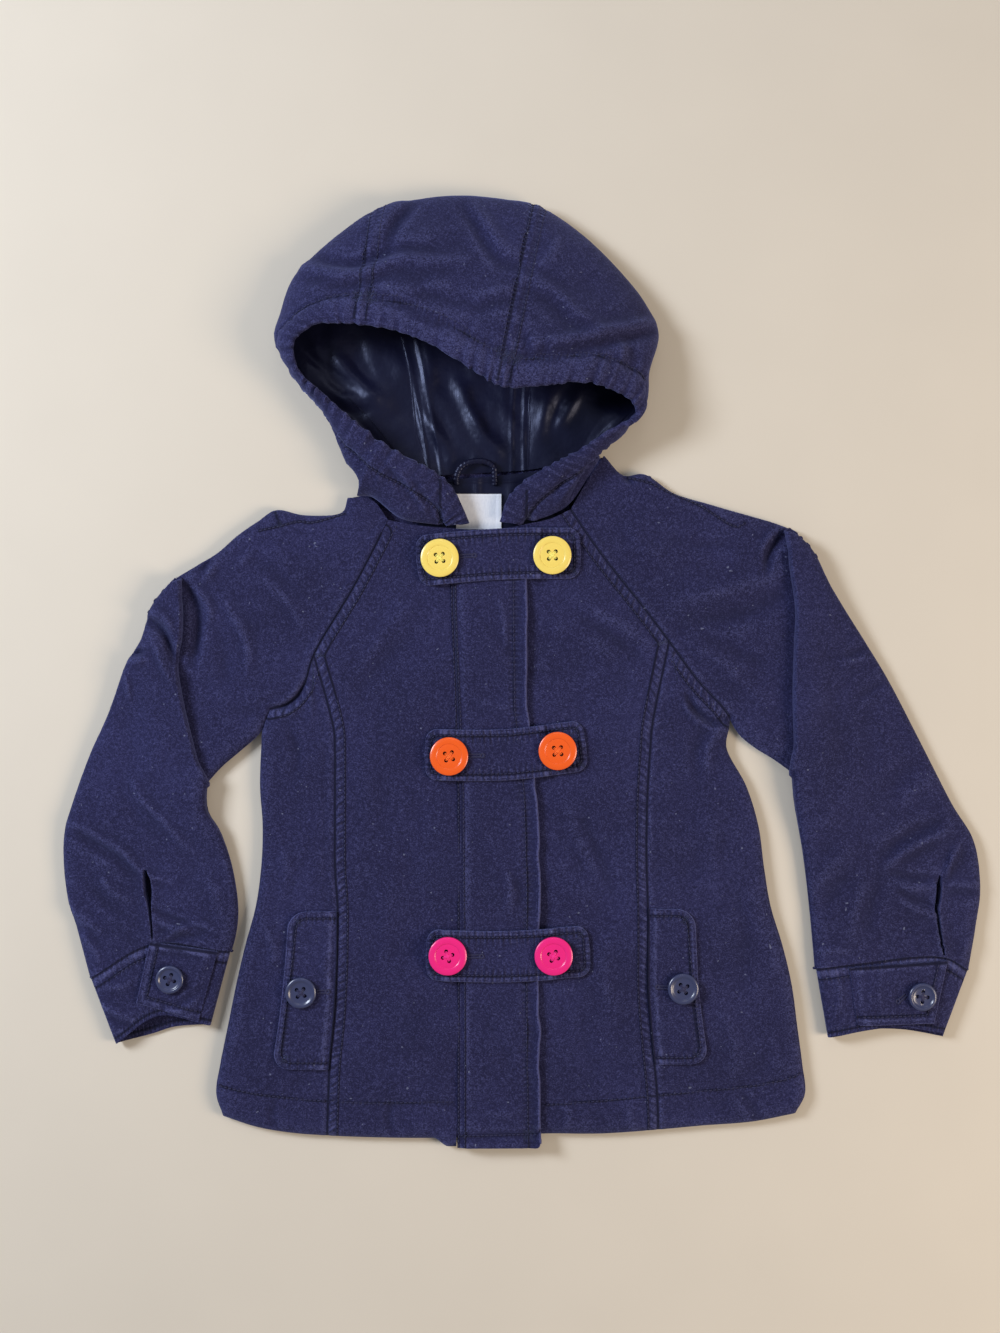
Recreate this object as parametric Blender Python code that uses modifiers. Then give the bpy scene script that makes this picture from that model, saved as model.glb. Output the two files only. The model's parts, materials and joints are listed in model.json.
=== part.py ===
"""A child's hooded coat of brushed cotton, laid flat on its back with the hood's opening up.

Every length is in millimetres until a mesh is made, which is in metres. x runs across the coat from its
closing line towards the wearer's left, y runs up it from the chest line, and z is the height above the
surface that it lies on. Right and left are the wearer's. At the end the coat is moved so that the middle
of its box stands at the origin.
"""

import math

import bpy
import numpy as np
from mathutils import Vector

MM = 0.001
TURNED_OVER = [0, 3, 2, 1]  # a face's corners, turned over but still split along the same diagonal
GAP = 0.3  # between pieces that touch
CLOTH = 2.6  # shell, lining and what is between them
LINING = 1.0
BAND = 2.2  # a tab, a flap or the buttoned end of a cuff
PLACKET = 2.4
LABEL = 0.6

RIM_TOP = 2 * CLOTH + GAP  # the front's top where it meets the back at an outer edge
RIM_ROUND = 8.0
RIM_RISE = 3.0
LOFT = 1.5
LOFT_REACH = 40.0
SEAM_Z = 9.6  # the top of the fronts at the neckline
FOLD_RISE = 8.0  # how much higher the lower sleeve lies at its fold
FOLD_REACH = 45.0
FOLD_TUCK = 8.0  # how far the upper sleeve runs in under the fold
FOLD_WIDTH = 40.0
FOLD_SHARE = 0.6  # of the room out to the sleeve's outer edge
FOLD_ENDS = (0.34, 0.82)  # where the hidden layers start and end, as fractions of the fold
FOLD_ROWS = 8
LOWER_START = 0.02  # where the lower sleeve starts, as a fraction of its outer edge and of the fold
TOP_POINTS = 4  # of the fold's line, which the lower sleeve's top edge replaces
CUFF_HIGH = 9.6
CUFF_WALL = 2.0
CUFF_SIDE_WALL = 0.025  # of its width
CUFF_SQUARE = 1.25  # above 1, the flattened cuff is more box-like than an ellipse

TAB_CORNER = 9.0
FLAP_CORNER = 13.0
TAB_SLOPE_START = 8.0
TAB_SLOPE_END = 16.0

BUTTON_ACROSS = {"large": 28.5, "pocket": 23.0, "cuff": 20.8}
BUTTON_HIGH = 3.8
HOLE_PITCH = 5.2
HOLE_RADIUS = 1.3
SCREW_STEPS = 16
SEAT_SHARE = 0.42  # of its width: how far to each side of its middle a large button rests on its tab

# One row for each level down the body: y, then x of the right side, right and left princess seams, left side.
BODY = (
    # y, right_side, right_princess, left_princess, left_side
    (-46, -178, -125, 114, 172),
    (-60, -179, -124, 113, 170),
    (-90, -180, -124, 111, 185),
    (-120, -178, -124, 110, 194),
    (-150, -179, -124, 110, 198),
    (-180, -183, -122, 111, 203),
    (-210, -191, -122, 111, 212),
    (-240, -198, -123, 111, 219),
    (-270, -204, -125, 113, 223),
    (-300, -210, -128, 116, 227),
    (-322, -213, -129, 118, 229),
)
# The hem from the right corner to the left one: x, y.
HEM = ((-208, -338), (-182, -346), (-150, -351), (-90, -354), (-33, -354), (32, -351), (75, -351), (118, -348),
       (151, -345), (190, -342), (222, -336))
# The buttoning edge: y, left stitching, free edge.
PLACKET_EDGES = ((101, -37, 19), (46, -37, 19), (-33, -34, 20), (-96, -32, 27), (-165, -32, 29), (-282, -32, 29),
                 (-361, -32, 30))
# Raglan seams from the armpit to the neckline: x, y.
RAGLAN = {
    "right": ((-173, -32), (-160, -28), (-148, -15), (-140, 9), (-110, 60), (-84, 110)),
    "left": ((173, -38), (166, -29), (149, -11), (127, 19), (105, 48), (75, 86), (53, 118)),
}
PRINCESS_TOP = {"right": (-140, 9), "left": (127, 19)}
NECKLINE = ((-84, 110), (-63, 106), (-40, 104), (-25, 103), (3, 104), (20, 107), (38, 111), (53, 118))
BACK_NECKLINE = ((-84, 110), (-74, 134), (-40, 138), (-10, 141), (20, 144), (46, 148), (53, 118))
# Sleeves: x, y along each edge. The shoulder runs from the neckline out to the fold at the elbow, the outer
# edge on from there to the cuff, the under edge from the armpit to the fold, and the inner one on to the cuff.
SLEEVE = {
    "right": {
        "neck": ((-84, 110), (-96, 125), (-114, 127)),
        "back_neck": ((-84, 110), (-74, 134), (-95, 131), (-114, 127)),
        "shoulder": ((-114, 127), (-118, 116), (-147, 113), (-169, 117), (-182, 109), (-198, 98), (-213, 85),
                     (-228, 76), (-243, 67)),
        "outer": ((-243, 67), (-261, 45), (-269, 20), (-279, 5), (-294, -35), (-308, -66), (-321, -102),
                  (-327, -123), (-328, -144), (-325, -172), (-317, -200), (-308, -234)),
        "under": ((-173, -32), (-181, -49), (-196, -63), (-210, -75), (-221, -87)),
        "fold": ((-243, 67), (-237, 50), (-237, 22), (-240, 4), (-237, -20), (-228, -59), (-221, -87)),
        "inner": ((-221, -87), (-221, -108), (-212, -123), (-203, -149), (-198, -183), (-200, -203), (-203, -214)),
        "cuff_seam": ((-308, -234), (-261, -208), (-203, -214)),
        "cuff_edge": ((-289, -284), (-256, -262), (-218, -270)),
        "cuff_end": ((-272, -252), (-262, -207), (-212, -214), (-226, -265)),
    },
    "left": {
        "neck": ((53, 118), (66, 140), (78, 158)),
        "back_neck": ((53, 118), (46, 148), (78, 158)),
        "shoulder": ((78, 158), (93, 143), (109, 144), (131, 130), (157, 122), (185, 114), (206, 108), (217, 104)),
        "outer": ((217, 104), (234, 87), (248, 60), (277, 14), (291, -9), (317, -59), (340, -104), (356, -131),
                  (361, -168), (358, -192), (352, -228)),
        "under": ((173, -38), (181, -51), (193, -61), (206, -69), (220, -79)),
        "fold": ((217, 104), (215, 84), (220, 44), (219, 16), (218, -21), (219, -55), (220, -79)),
        "inner": ((220, -79), (222, -101), (229, -141), (234, -183), (238, -227)),
        "cuff_seam": ((352, -228), (334, -218), (276, -222), (238, -227)),
        "cuff_edge": ((334, -276), (304, -271), (277, -273), (247, -279)),
        "cuff_end": ((325, -267), (335, -221), (262, -226), (268, -269)),
    },
}
# Tabs: x, y of the middle line's right end, middle and left end. Width across it is TAB_WIDTH.
TAB_WIDTH = 37.0
TABS = {
    "tab_top": ((-62, 79), (-1, 84), (60, 85)),
    "tab_middle": ((-56, -66), (4, -66), (64, -59)),
    "tab_bottom": ((-55, -216), (5, -217), (67, -213)),
}
# Pocket flaps: y of top and bottom, and how far the free edge stands from the princess seam at each.
FLAPS = {
    "right_flap": {"top": -184, "bottom": -302, "wide_top": 36, "wide_bottom": 42},
    "left_flap": {"top": -182, "bottom": -298, "wide_top": 34, "wide_bottom": 40},
}
# Buttons: size, x, y.
BUTTONS = {
    "button_top_right": ("large", -45, 81),
    "button_top_left": ("large", 39, 83),
    "button_middle_right": ("large", -38, -67),
    "button_middle_left": ("large", 43, -63),
    "button_bottom_right": ("large", -39, -216),
    "button_bottom_left": ("large", 40, -216),
    "pocket_button_right": ("pocket", -149, -244),
    "pocket_button_left": ("pocket", 137, -241),
    "cuff_button_right": ("cuff", -247, -234),
    "cuff_button_left": ("cuff", 316, -247),
}
# The hood, one row for each line from its opening over the crown and back along the surface to the neck.
# Rows of the wings end on the front neckline, and have no side.
HOOD_RIGHT_WING = (
    # edge_x, edge_y, edge_z, neck_x, neck_y, neck_z
    (-25, 107, 14, -38, 106, 9.6),
    (-36, 131, 20, -52, 107, 9.6),
    (-50, 143, 25, -74, 111, 9.6),
    (-77, 157, 30, -96, 127, 9.6),
    (-90, 165, 31, -107, 128, 8.8),
)
HOOD_CROWN = (
    # edge_x, edge_y, edge_z, side_x, side_y, neck_x, neck_y
    (-103, 174, 33, -115, 152, -103, 137),
    (-131, 197, 33, -131, 188, -90, 136),
    (-149, 214, 33, -150, 211, -74, 139),
    (-155, 240, 35, -169, 244, -66, 139),
    (-139, 252, 40, -165, 264, -61, 140),
    (-125, 253, 44, -154, 292, -56, 140),
    (-113, 253, 46, -122, 323, -52, 140),
    (-102, 252, 48, -91, 343, -48, 140),
    (-73, 246, 51, -56, 351, -36, 141),
    (-44, 233, 54, -26, 353, -19, 142),
    (-18, 216, 56, 4, 350, -2, 143),
    (2, 205, 57, 29, 345, 14, 144),
    (33, 206, 56, 60, 325, 28, 146),
    (62, 209, 52, 88, 298, 40, 149),
    (84, 204, 46, 109, 272, 47, 150),
    (97, 198, 40, 119, 249, 53, 152),
    (103, 190, 34, 112, 221, 59, 154),
    (103, 183, 30, 110, 199, 65, 156),
    (83, 172, 29, 89, 171, 71, 159),
)
HOOD_LEFT_WING = (
    (60, 159, 28, 75, 156, 8.0),
    (42, 150, 26, 66, 142, 9.6),
    (20, 137, 21, 51, 121, 9.6),
    (8, 125, 17, 34, 112, 9.6),
    (2, 108, 14, 14, 107, 9.6),
)
HOOD_SEAM_ROWS = (7, 11)  # rows of HOOD_CROWN along which the three panels meet
WING_ROWS = 3  # added rows between a wing and the crown
NORMAL_PASSES = 3  # of evening out the direction of the hood's walls from row to row
HOOD_CLOTH = 1.6  # its lining is a wall of its own
SIDE_Z = 11.0  # the height at which the hood's side stands out furthest
SIDE_TUCK = (6.5, 8.0)  # how far inside its side the hood touches the surface, least and most
NECK_LIFT = 5.0  # how far the underside is off the surface at the first and last rows of HOOD_CROWN
LIFTED_ROWS = 4
TUCK_SHARE = 0.35  # of the way from the side to the neck
FLOOR_BOW = 0.12  # how far the rows bow inwards on the surface, over the same way
UNLINED_ROWS = 2  # at the low end of a wing
CROWN_STEPS, ROUND_STEPS, FLOOR_STEPS = 4, 2, 2

LABEL_BOX = (-33, 1, 101, 130)  # x from, x to, y from, y to
HANGER = ((-32, 134, 5.5), (-32, 141, 7.2), (-30, 149, 8), (-22, 154, 8.5), (-12, 154, 8.5), (-5, 149, 8),
          (-4, 141, 7.2), (-4, 134, 5.5))
HANGER_RADIUS = 1.7

COLOURS = {
    # name: (red, green, blue), roughness
    "navy_cotton": ((0.026, 0.030, 0.105), 0.9),
    "navy_satin": ((0.012, 0.014, 0.045), 0.35),
    "yellow_plastic": ((0.88, 0.66, 0.10), 0.2),
    "orange_plastic": ((0.90, 0.12, 0.02), 0.2),
    "pink_plastic": ((0.85, 0.01, 0.20), 0.2),
    "navy_plastic": ((0.05, 0.06, 0.14), 0.2),
    "white_label": ((0.80, 0.80, 0.82), 0.5),
}


# Lines: arrays of points, joined by short straight steps.


def smooth(points, per_span=10):
    """A smooth line through the points, with per_span steps from each to the next."""
    points = np.asarray(points, float)
    spans = np.sqrt(np.linalg.norm(np.diff(points, axis=0), axis=1))[:, None]
    slopes = np.diff(points, axis=0) / spans
    inner = (slopes[:-1] * spans[1:] + slopes[1:] * spans[:-1]) / (spans[1:] + spans[:-1])
    tangents = np.vstack([slopes[:1], inner, slopes[-1:]])
    t = (np.arange(per_span) / per_span)[:, None]
    line = []
    for start, end, leave, arrive, span in zip(points, points[1:], tangents, tangents[1:], spans):
        line.append((1 + 2 * t) * (1 - t) ** 2 * start + t * (1 - t) ** 2 * span * leave
                    + t * t * (3 - 2 * t) * end + t * t * (t - 1) * span * arrive)
    return np.vstack(line + [points[-1:]])


def run_length(line):
    steps = np.linalg.norm(np.diff(line, axis=0), axis=1)
    return np.concatenate([[0], np.cumsum(steps)])


def along(line, fractions):
    """Points of the line at fractions of its length."""
    line = np.asarray(line, float)
    run = run_length(line)
    return np.stack([np.interp(np.asarray(fractions) * run[-1], run, column) for column in line.T], axis=-1)


def between(line, start, end):
    """The stretch of the line between its points nearest to start and end, in that direction."""
    first, last = (int(np.argmin(np.linalg.norm(line - point, axis=1))) for point in (start, end))
    return line[first : last + 1] if first <= last else line[last : first + 1][::-1]


def joined(*lines):
    return np.vstack([lines[0]] + [line[1:] for line in lines[1:]])


def distance_to(lines, points):
    """The distance from each point to the nearest of the lines."""
    nearest = np.full(points.shape[:-1], np.inf)
    for line in lines:
        for a, b in zip(line[:-1], line[1:]):
            side = b - a
            share = np.clip(((points - a) @ side) / max(side @ side, 1e-9), 0, 1)
            away = np.linalg.norm(points - a - share[..., None] * side, axis=-1)
            nearest = np.minimum(nearest, away)
    return nearest


def body_line(column):
    """A line down the body through one column of BODY, from the top row to the bottom one."""
    return [(row[column], row[0]) for row in BODY]


HEM_LINE = smooth(HEM)
NECK_LINE = smooth(NECKLINE)
RAGLAN_LINE = {side: smooth(points) for side, points in RAGLAN.items()}
SIDE_LINE = {
    "right": smooth([RAGLAN["right"][0]] + body_line(1) + [HEM[0]]),
    "left": smooth([RAGLAN["left"][0]] + body_line(4) + [HEM[-1]]),
}
PRINCESS_LINE = {
    "right": smooth([PRINCESS_TOP["right"]] + body_line(2) + [(-130, -352.5)]),
    "left": smooth([PRINCESS_TOP["left"]] + body_line(3) + [(119, -348)]),
}
STRAIGHT_EDGES = ("back_neck", "cuff_end")
# Where the grids have their points, as fractions of an edge: pieces that meet at a seam share them.
PRINCESS_UP = (0, 0.007, 0.025, 0.06, 0.14, 0.25, 0.37, 0.5, 0.63, 0.76, 0.88, 0.96, 1)
SIDE_ACROSS = (0, 0.03, 0.1, 0.25, 0.5, 0.75, 1)
RAGLAN_UP = (0, 0.2, 0.4, 0.6, 0.8, 1)
UNDER_SHARES = (0, 0.3, 0.6, 0.85, 0.96, 1)
SLEEVE_ACROSS = (0, 0.04, 0.12, 0.3, 0.5, 0.7, 0.86, 0.95, 1)
CUFF_POINTS = 16
CUFF_TURN = np.linspace(0, 2 * np.pi, CUFF_POINTS, endpoint=False)
CUFF_SHARES = (1 - np.cos(CUFF_TURN[: CUFF_POINTS // 2 + 1])) / 2
SLEEVE_LINE = {
    side: {name: np.array(points, float) if name in STRAIGHT_EDGES else smooth(points, 6)
           for name, points in edges.items()}
    for side, edges in SLEEVE.items()
}
OUTER_LINES = [HEM_LINE, *SIDE_LINE.values()] + [
    lines[name][::2] for lines in SLEEVE_LINE.values() for name in ("shoulder", "outer", "under", "inner")
]
FOLD_LINES = {side: [lines["fold"]] for side, lines in SLEEVE_LINE.items()}


# Heights above the surface, for arrays of x, y.


def front_top(points):
    """The top of the fronts: rounded at the outer edges and a little lofted between them."""
    away = distance_to(OUTER_LINES, points)
    near = np.clip(away / RIM_ROUND, 0, 1)
    rim = RIM_RISE * np.sqrt(1 - (1 - near) ** 2)
    return RIM_TOP + rim + LOFT * (1 - np.exp(-away / LOFT_REACH))


def lower_sleeve_top(side, points):
    away = distance_to(FOLD_LINES[side], points)
    return front_top(points) + FOLD_RISE * np.exp(-((away / FOLD_REACH) ** 2))


def placket_share(points):
    """1 over the placket and just beside it, falling to 0 away from it."""
    levels, left, right = np.array(PLACKET_EDGES, float)[::-1].T
    beside = np.maximum(
        np.interp(points[..., 1], levels, left) - points[..., 0],
        points[..., 0] - np.interp(points[..., 1], levels, right),
    )
    fall = np.clip((beside - TAB_SLOPE_START) / (TAB_SLOPE_END - TAB_SLOPE_START), 0, 1)
    return 1 - fall * fall * (3 - 2 * fall)


def tab_low(points):
    return front_top(points) + GAP + (PLACKET + GAP) * placket_share(points)


# Meshes


def material(name):
    found = bpy.data.materials.get(name)
    if found:
        return found
    made = bpy.data.materials.new(name)
    made.use_nodes = True
    colour, roughness = COLOURS[name]
    shader = made.node_tree.nodes["Principled BSDF"]
    shader.inputs["Base Color"].default_value = (*colour, 1)
    shader.inputs["Roughness"].default_value = roughness
    shader.inputs["Metallic"].default_value = 0
    return made


def new_object(name, data, finish, collection="hooded_coat"):
    made = bpy.data.objects.new(name, data)
    bpy.data.collections[collection].objects.link(made)
    if finish:
        data.materials.append(material(finish))
    return made


def wall(name, outer, inner, finish):
    """A closed wall between two grids of points, the outer one on the side that faces out."""
    rows, columns = outer.shape[:2]
    count = rows * columns
    points = np.vstack([outer.reshape(-1, 3), inner.reshape(-1, 3)]) * MM
    index = np.arange(count).reshape(rows, columns)
    a, b, c, d = index[:-1, :-1], index[:-1, 1:], index[1:, 1:], index[1:, :-1]
    skin = np.stack([a, b, c, d], axis=-1).reshape(-1, 4)
    ring = np.concatenate([index[0, :-1], index[:-1, -1], index[-1, :0:-1], index[:0:-1, 0]])
    following = np.roll(ring, -1)
    rim = np.stack([following, ring, ring + count, following + count], axis=-1)
    faces = np.vstack([skin, skin[:, TURNED_OVER] + count, rim])
    data = bpy.data.meshes.new(name)
    data.from_pydata(points.tolist(), [], faces.tolist())
    data.validate()
    data.shade_smooth()
    return new_object(name, data, finish)


def facing_up(grid):
    """The grid turned, where it must be, so that its faces point up."""
    across = grid[:-1, 1:, :2] - grid[:-1, :-1, :2]
    down = grid[1:, :-1, :2] - grid[:-1, :-1, :2]
    area = (across[..., 0] * down[..., 1] - across[..., 1] * down[..., 0]).sum()
    return grid if area > 0 else grid[:, ::-1]


def patch(bottom, top, left, right, across, up):
    """A grid of x, y points over a four-sided outline, with its edges drawn in by half a seam's gap."""
    u = np.asarray(across)[None, :, None]
    v = np.asarray(up)[:, None, None]
    low, high = along(bottom, across)[None], along(top, across)[None]
    near, far = along(left, up)[:, None], along(right, up)[:, None]
    corners = ((1 - u) * (1 - v) * low[:, :1] + u * (1 - v) * low[:, -1:]
               + (1 - u) * v * high[:, :1] + u * v * high[:, -1:])
    grid = (1 - v) * low + v * high + (1 - u) * near + u * far - corners
    for edge, inside in ((grid[0], grid[1]), (grid[-1], grid[-2]), (grid[:, 0], grid[:, 1]),
                         (grid[:, -1], grid[:, -2])):
        away = inside - edge
        edge += away * (GAP / 2) / np.maximum(np.linalg.norm(away, axis=-1, keepdims=True), GAP)
    return grid


def sheet(name, grid, low, high, finish="navy_cotton"):
    """A wall over a grid of x, y points, between two arrays of heights."""
    outer = facing_up(np.dstack([grid, high]))
    inner = facing_up(np.dstack([grid, low]))
    return wall(name, outer, inner, finish)


def front(name, grid):
    high = front_top(grid)
    return sheet(name, grid, np.maximum(high - CLOTH, CLOTH + GAP), high)


def plate(name, outline, low, thick, finish):
    """A flat piece of one outline, from a flat curve."""
    data = bpy.data.curves.new(name, "CURVE")
    data.dimensions = "2D"
    data.fill_mode = "BOTH"
    data.extrude = thick / 2 * MM
    spline = data.splines.new("POLY")
    spline.points.add(len(outline) - 1)
    for point, (x, y) in zip(spline.points, outline):
        point.co = (x * MM, y * MM, 0, 1)
    spline.use_cyclic_u = True
    made = new_object(name, data, finish)
    made.location.z = (low + thick / 2) * MM
    return made


# The coat's pieces


def inset(outline, distance):
    """A closed outline drawn in by a distance."""
    outline = np.asarray(outline, float)
    keep = np.linalg.norm(outline - np.roll(outline, 1, axis=0), axis=1) > 0.5
    outline = outline[keep]
    side = np.roll(outline, -1, axis=0) - np.roll(outline, 1, axis=0)
    side /= np.linalg.norm(side, axis=1, keepdims=True)
    x, y = outline.T
    area = (x * np.roll(y, -1) - y * np.roll(x, -1)).sum()
    inward = np.stack([-side[:, 1], side[:, 0]], axis=1) * math.copysign(1, area)
    return outline + inward * distance


def make_back():
    outline = joined(
        SIDE_LINE["right"][::-4],
        RAGLAN_LINE["right"][::5],
        np.array(BACK_NECKLINE, float),
        RAGLAN_LINE["left"][::-5],
        SIDE_LINE["left"][::4],
        HEM_LINE[::-8],
    )
    plate("back", inset(outline, GAP / 2), 0, CLOTH, "navy_cotton")


def split_shares(line, point, before, after):
    """Fractions of the line's length that take the first ones up to the point, and the others on from it."""
    run = run_length(line)
    share = run[int(np.argmin(np.linalg.norm(line - point, axis=1)))] / run[-1]
    return np.concatenate([share * np.array(before), share + (1 - share) * np.array(after[1:])])


def make_fronts():
    for side, corner in (("right", 0), ("left", -1)):
        princess = PRINCESS_LINE[side][::-1]
        raglan = RAGLAN_LINE[side]
        start = np.array(PRINCESS_TOP[side], float)
        grid = patch(
            between(HEM_LINE, HEM[corner], princess[0]),
            between(raglan, raglan[0], start),
            SIDE_LINE[side][::-1],
            princess,
            SIDE_ACROSS,
            PRINCESS_UP,
        )
        front(f"{side}_side_front", grid)
    closing = np.array([(left, y) for y, left, _ in PLACKET_EDGES[::-1]], float)
    closing[0] = HEM_LINE[int(np.argmin(np.abs(HEM_LINE[:, 0] - closing[0, 0])))]
    closing[-1] = NECK_LINE[int(np.argmin(np.abs(NECK_LINE[:, 0] - closing[-1, 0])))]
    for side in ("right", "left"):
        outside = joined(PRINCESS_LINE[side][::-1],
                         between(RAGLAN_LINE[side], PRINCESS_TOP[side], RAGLAN_LINE[side][-1]))
        grid = patch(
            between(HEM_LINE, outside[0], closing[0]),
            between(NECK_LINE, outside[-1], closing[-1]),
            outside,
            closing,
            np.linspace(0, 1, 6),
            split_shares(outside, PRINCESS_TOP[side], PRINCESS_UP, RAGLAN_UP),
        )
        front(f"{side}_front", grid)


def make_placket():
    levels = np.array(PLACKET_EDGES, float)
    left, right = levels[:, [1, 0]], levels[:, [2, 0]]
    grid = patch(left[-1:] + (right[-1:] - left[-1:]) * [[0], [1]], left[:1] + (right[:1] - left[:1]) * [[0], [1]],
                 left[::-1], right[::-1], np.linspace(0, 1, 4), np.linspace(0, 1, 14))
    base = front_top(grid)
    sheet("placket", grid, base + GAP, base + GAP + PLACKET)


def rounded_stretch(length, corner, count):
    """Distances along a band, close together where its corners turn."""
    turn = corner * (1 - np.cos(np.radians([0, 30, 60, 90])))
    middle = np.linspace(corner, length - corner, count)[1:-1]
    return np.concatenate([turn, middle, (length - turn)[::-1]])


def half_width(distance, length, width, corner):
    """Half the band's width at distances along it, with quarter-round corners."""
    short = np.minimum(distance, length - distance)
    cut = np.clip(corner - short, 0, corner)
    return width / 2 - corner + np.sqrt(corner**2 - cut**2)


def make_tabs():
    for name, middle in TABS.items():
        line = smooth(middle)
        length = run_length(line)[-1]
        run = rounded_stretch(length, TAB_CORNER, 9)
        centre = along(line, run / length)
        heading = np.gradient(centre, run, axis=0)
        heading /= np.linalg.norm(heading, axis=1, keepdims=True)
        side = np.stack([-heading[:, 1], heading[:, 0]], axis=1)
        reach = half_width(run, length, TAB_WIDTH, TAB_CORNER)[:, None, None] * np.linspace(-1, 1, 4)[None, :, None]
        grid = centre[:, None] + reach * side[:, None]
        low = tab_low(grid)
        sheet(name, grid, low, low + BAND)


def make_flaps():
    for side, outward in (("right", -1), ("left", 1)):
        flap = FLAPS[f"{side}_flap"]
        high = flap["top"] - flap["bottom"]
        run = rounded_stretch(high, FLAP_CORNER, 7)
        levels = flap["top"] - run
        line = PRINCESS_LINE[side][::-1]
        seam = np.interp(levels, line[:, 1], line[:, 0]) + outward * GAP
        wide = np.interp(run, [0, high], [flap["wide_top"], flap["wide_bottom"]])
        short = np.minimum(run, high - run)
        cut = np.clip(FLAP_CORNER - short, 0, FLAP_CORNER)
        wide = wide - FLAP_CORNER + np.sqrt(FLAP_CORNER**2 - cut**2)
        share = np.linspace(0, 1, 5)
        grid = np.stack([seam[:, None] + outward * wide[:, None] * share,
                         np.repeat(levels[:, None], len(share), 1)], axis=-1)
        low = front_top(grid) + GAP
        sheet(f"{side}_flap", grid, low, low + BAND)


def sideways(line, distance):
    """The line moved sideways, to its left where the distance is above 0."""
    heading = np.gradient(line, axis=0)
    heading /= np.linalg.norm(heading, axis=1, keepdims=True)
    return line + distance * np.stack([-heading[:, 1], heading[:, 0]], axis=1)


def make_sleeves():
    for side, outward in (("right", -1), ("left", 1)):
        lines = SLEEVE_LINE[side]
        armpit = RAGLAN_LINE[side]
        outline = joined(armpit[::-5], lines["under"][::3], lines["inner"][::6],
                         along(lines["cuff_seam"], CUFF_SHARES[::-1]),
                         lines["outer"][::-6], lines["shoulder"][::-3], lines["back_neck"][::-1])
        plate(f"{side}_sleeve_back", inset(outline, GAP / 2), 0, CLOTH, "navy_cotton")

        fold = lines["fold"]
        tucked = sideways(fold, outward * FOLD_TUCK)
        tucked[0], tucked[-1] = fold[0], fold[-1]
        lengths = run_length(lines["under"])[-1], run_length(armpit)[-1]
        raglan_shares = split_shares(armpit, PRINCESS_TOP[side], SIDE_ACROSS, RAGLAN_UP)
        shares = np.concatenate([lengths[0] * np.array(UNDER_SHARES), lengths[0] + lengths[1] * raglan_shares[1:]])
        grid = patch(
            joined(lines["under"][::-1], armpit),
            lines["shoulder"][::-1],
            tucked[::-1],
            lines["neck"],
            shares / sum(lengths),
            SLEEVE_ACROSS,
        )
        front(f"{side}_sleeve_upper", grid)

        start = along(lines["outer"], [LOWER_START])[0]
        top = np.array([start, along(fold, [LOWER_START])[0]])
        grid = patch(
            lines["cuff_seam"],
            top,
            between(lines["outer"], start, lines["outer"][-1])[::-1],
            joined(top[1:], fold[TOP_POINTS:], lines["inner"][1:])[::-1],
            CUFF_SHARES,
            np.linspace(0, 1, 15),
        )
        high = lower_sleeve_top(side, grid)
        low = np.maximum(high - CLOTH, CLOTH + GAP)
        near_fold = distance_to(FOLD_LINES[side], grid) < FOLD_TUCK / 2
        low = np.where(near_fold, np.minimum(low, front_top(grid) + 2 * GAP), low)
        sheet(f"{side}_sleeve_lower", grid, low, high)
        make_fold(side, outward, fold)


def make_fold(side, outward, fold):
    """The hidden layers of the elbow's fold, between the back and the lower sleeve."""
    top, bottom = along(fold, FOLD_ENDS)
    line = along(between(fold, top, bottom), np.linspace(0, 1, FOLD_ROWS))
    room = distance_to([SLEEVE_LINE[side]["outer"]], line) - FOLD_TUCK
    width = np.minimum(FOLD_WIDTH, FOLD_SHARE * room)[:, None]
    share = np.array([0, 0.12, 0.4, 0.7, 0.9, 1])
    start = sideways(line, outward * (FOLD_TUCK + 5 * GAP))
    away = sideways(line, outward) - line
    grid = start[:, None] + away[:, None] * (width * share)[..., None]
    ends = np.sqrt(np.sin(np.pi * np.linspace(0.12, 0.88, FOLD_ROWS)))
    floor = CLOTH + GAP
    high = lower_sleeve_top(side, grid) - CLOTH - 5 * GAP - floor
    rounding = np.sqrt(1 - np.clip(2 * share - 1, -0.94, 0.94) ** 2)
    low = np.full(grid.shape[:2], floor)
    sheet(f"{side}_sleeve_fold", grid, low, low + high * rounding * ends[:, None])


def flat_ring(ends, half):
    """A flattened loop round the cuff: fractions of its width, and heights."""
    fraction = ends + (1 - 2 * ends) * (1 - np.cos(CUFF_TURN)) / 2
    rise = np.minimum(1, CUFF_SQUARE * np.sqrt(np.abs(np.sin(CUFF_TURN))))
    height = half * np.sign(np.sin(CUFF_TURN)) * rise
    return fraction, height + CUFF_HIGH / 2


def make_cuffs():
    for side in ("right", "left"):
        lines = SLEEVE_LINE[side]
        grids = []
        for ends, half in ((0.0, CUFF_HIGH / 2), (CUFF_SIDE_WALL, CUFF_HIGH / 2 - CUFF_WALL)):
            fraction, height = flat_ring(ends, half)
            seam, edge = along(lines["cuff_seam"], fraction), along(lines["cuff_edge"], fraction)
            down = np.linspace(0, 1, 4)[:, None, None]
            rows = seam + (edge - seam) * down
            rows[0] += (rows[1] - rows[0]) * (2 * GAP) / np.linalg.norm(rows[1] - rows[0], axis=-1, keepdims=True)
            grids.append(np.dstack([rows, np.repeat(height[None], 4, 0)]))
        tube(f"{side}_cuff", *grids)
        corners = lines["cuff_end"]
        grid = patch(corners[[0, 3]], corners[[1, 2]], corners[[0, 1]], corners[[3, 2]],
                     np.linspace(0, 1, 5), np.linspace(0, 1, 5))
        low = np.full(grid.shape[:2], CUFF_HIGH + GAP)
        sheet(f"{side}_cuff_end", grid, low, low + BAND)


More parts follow.
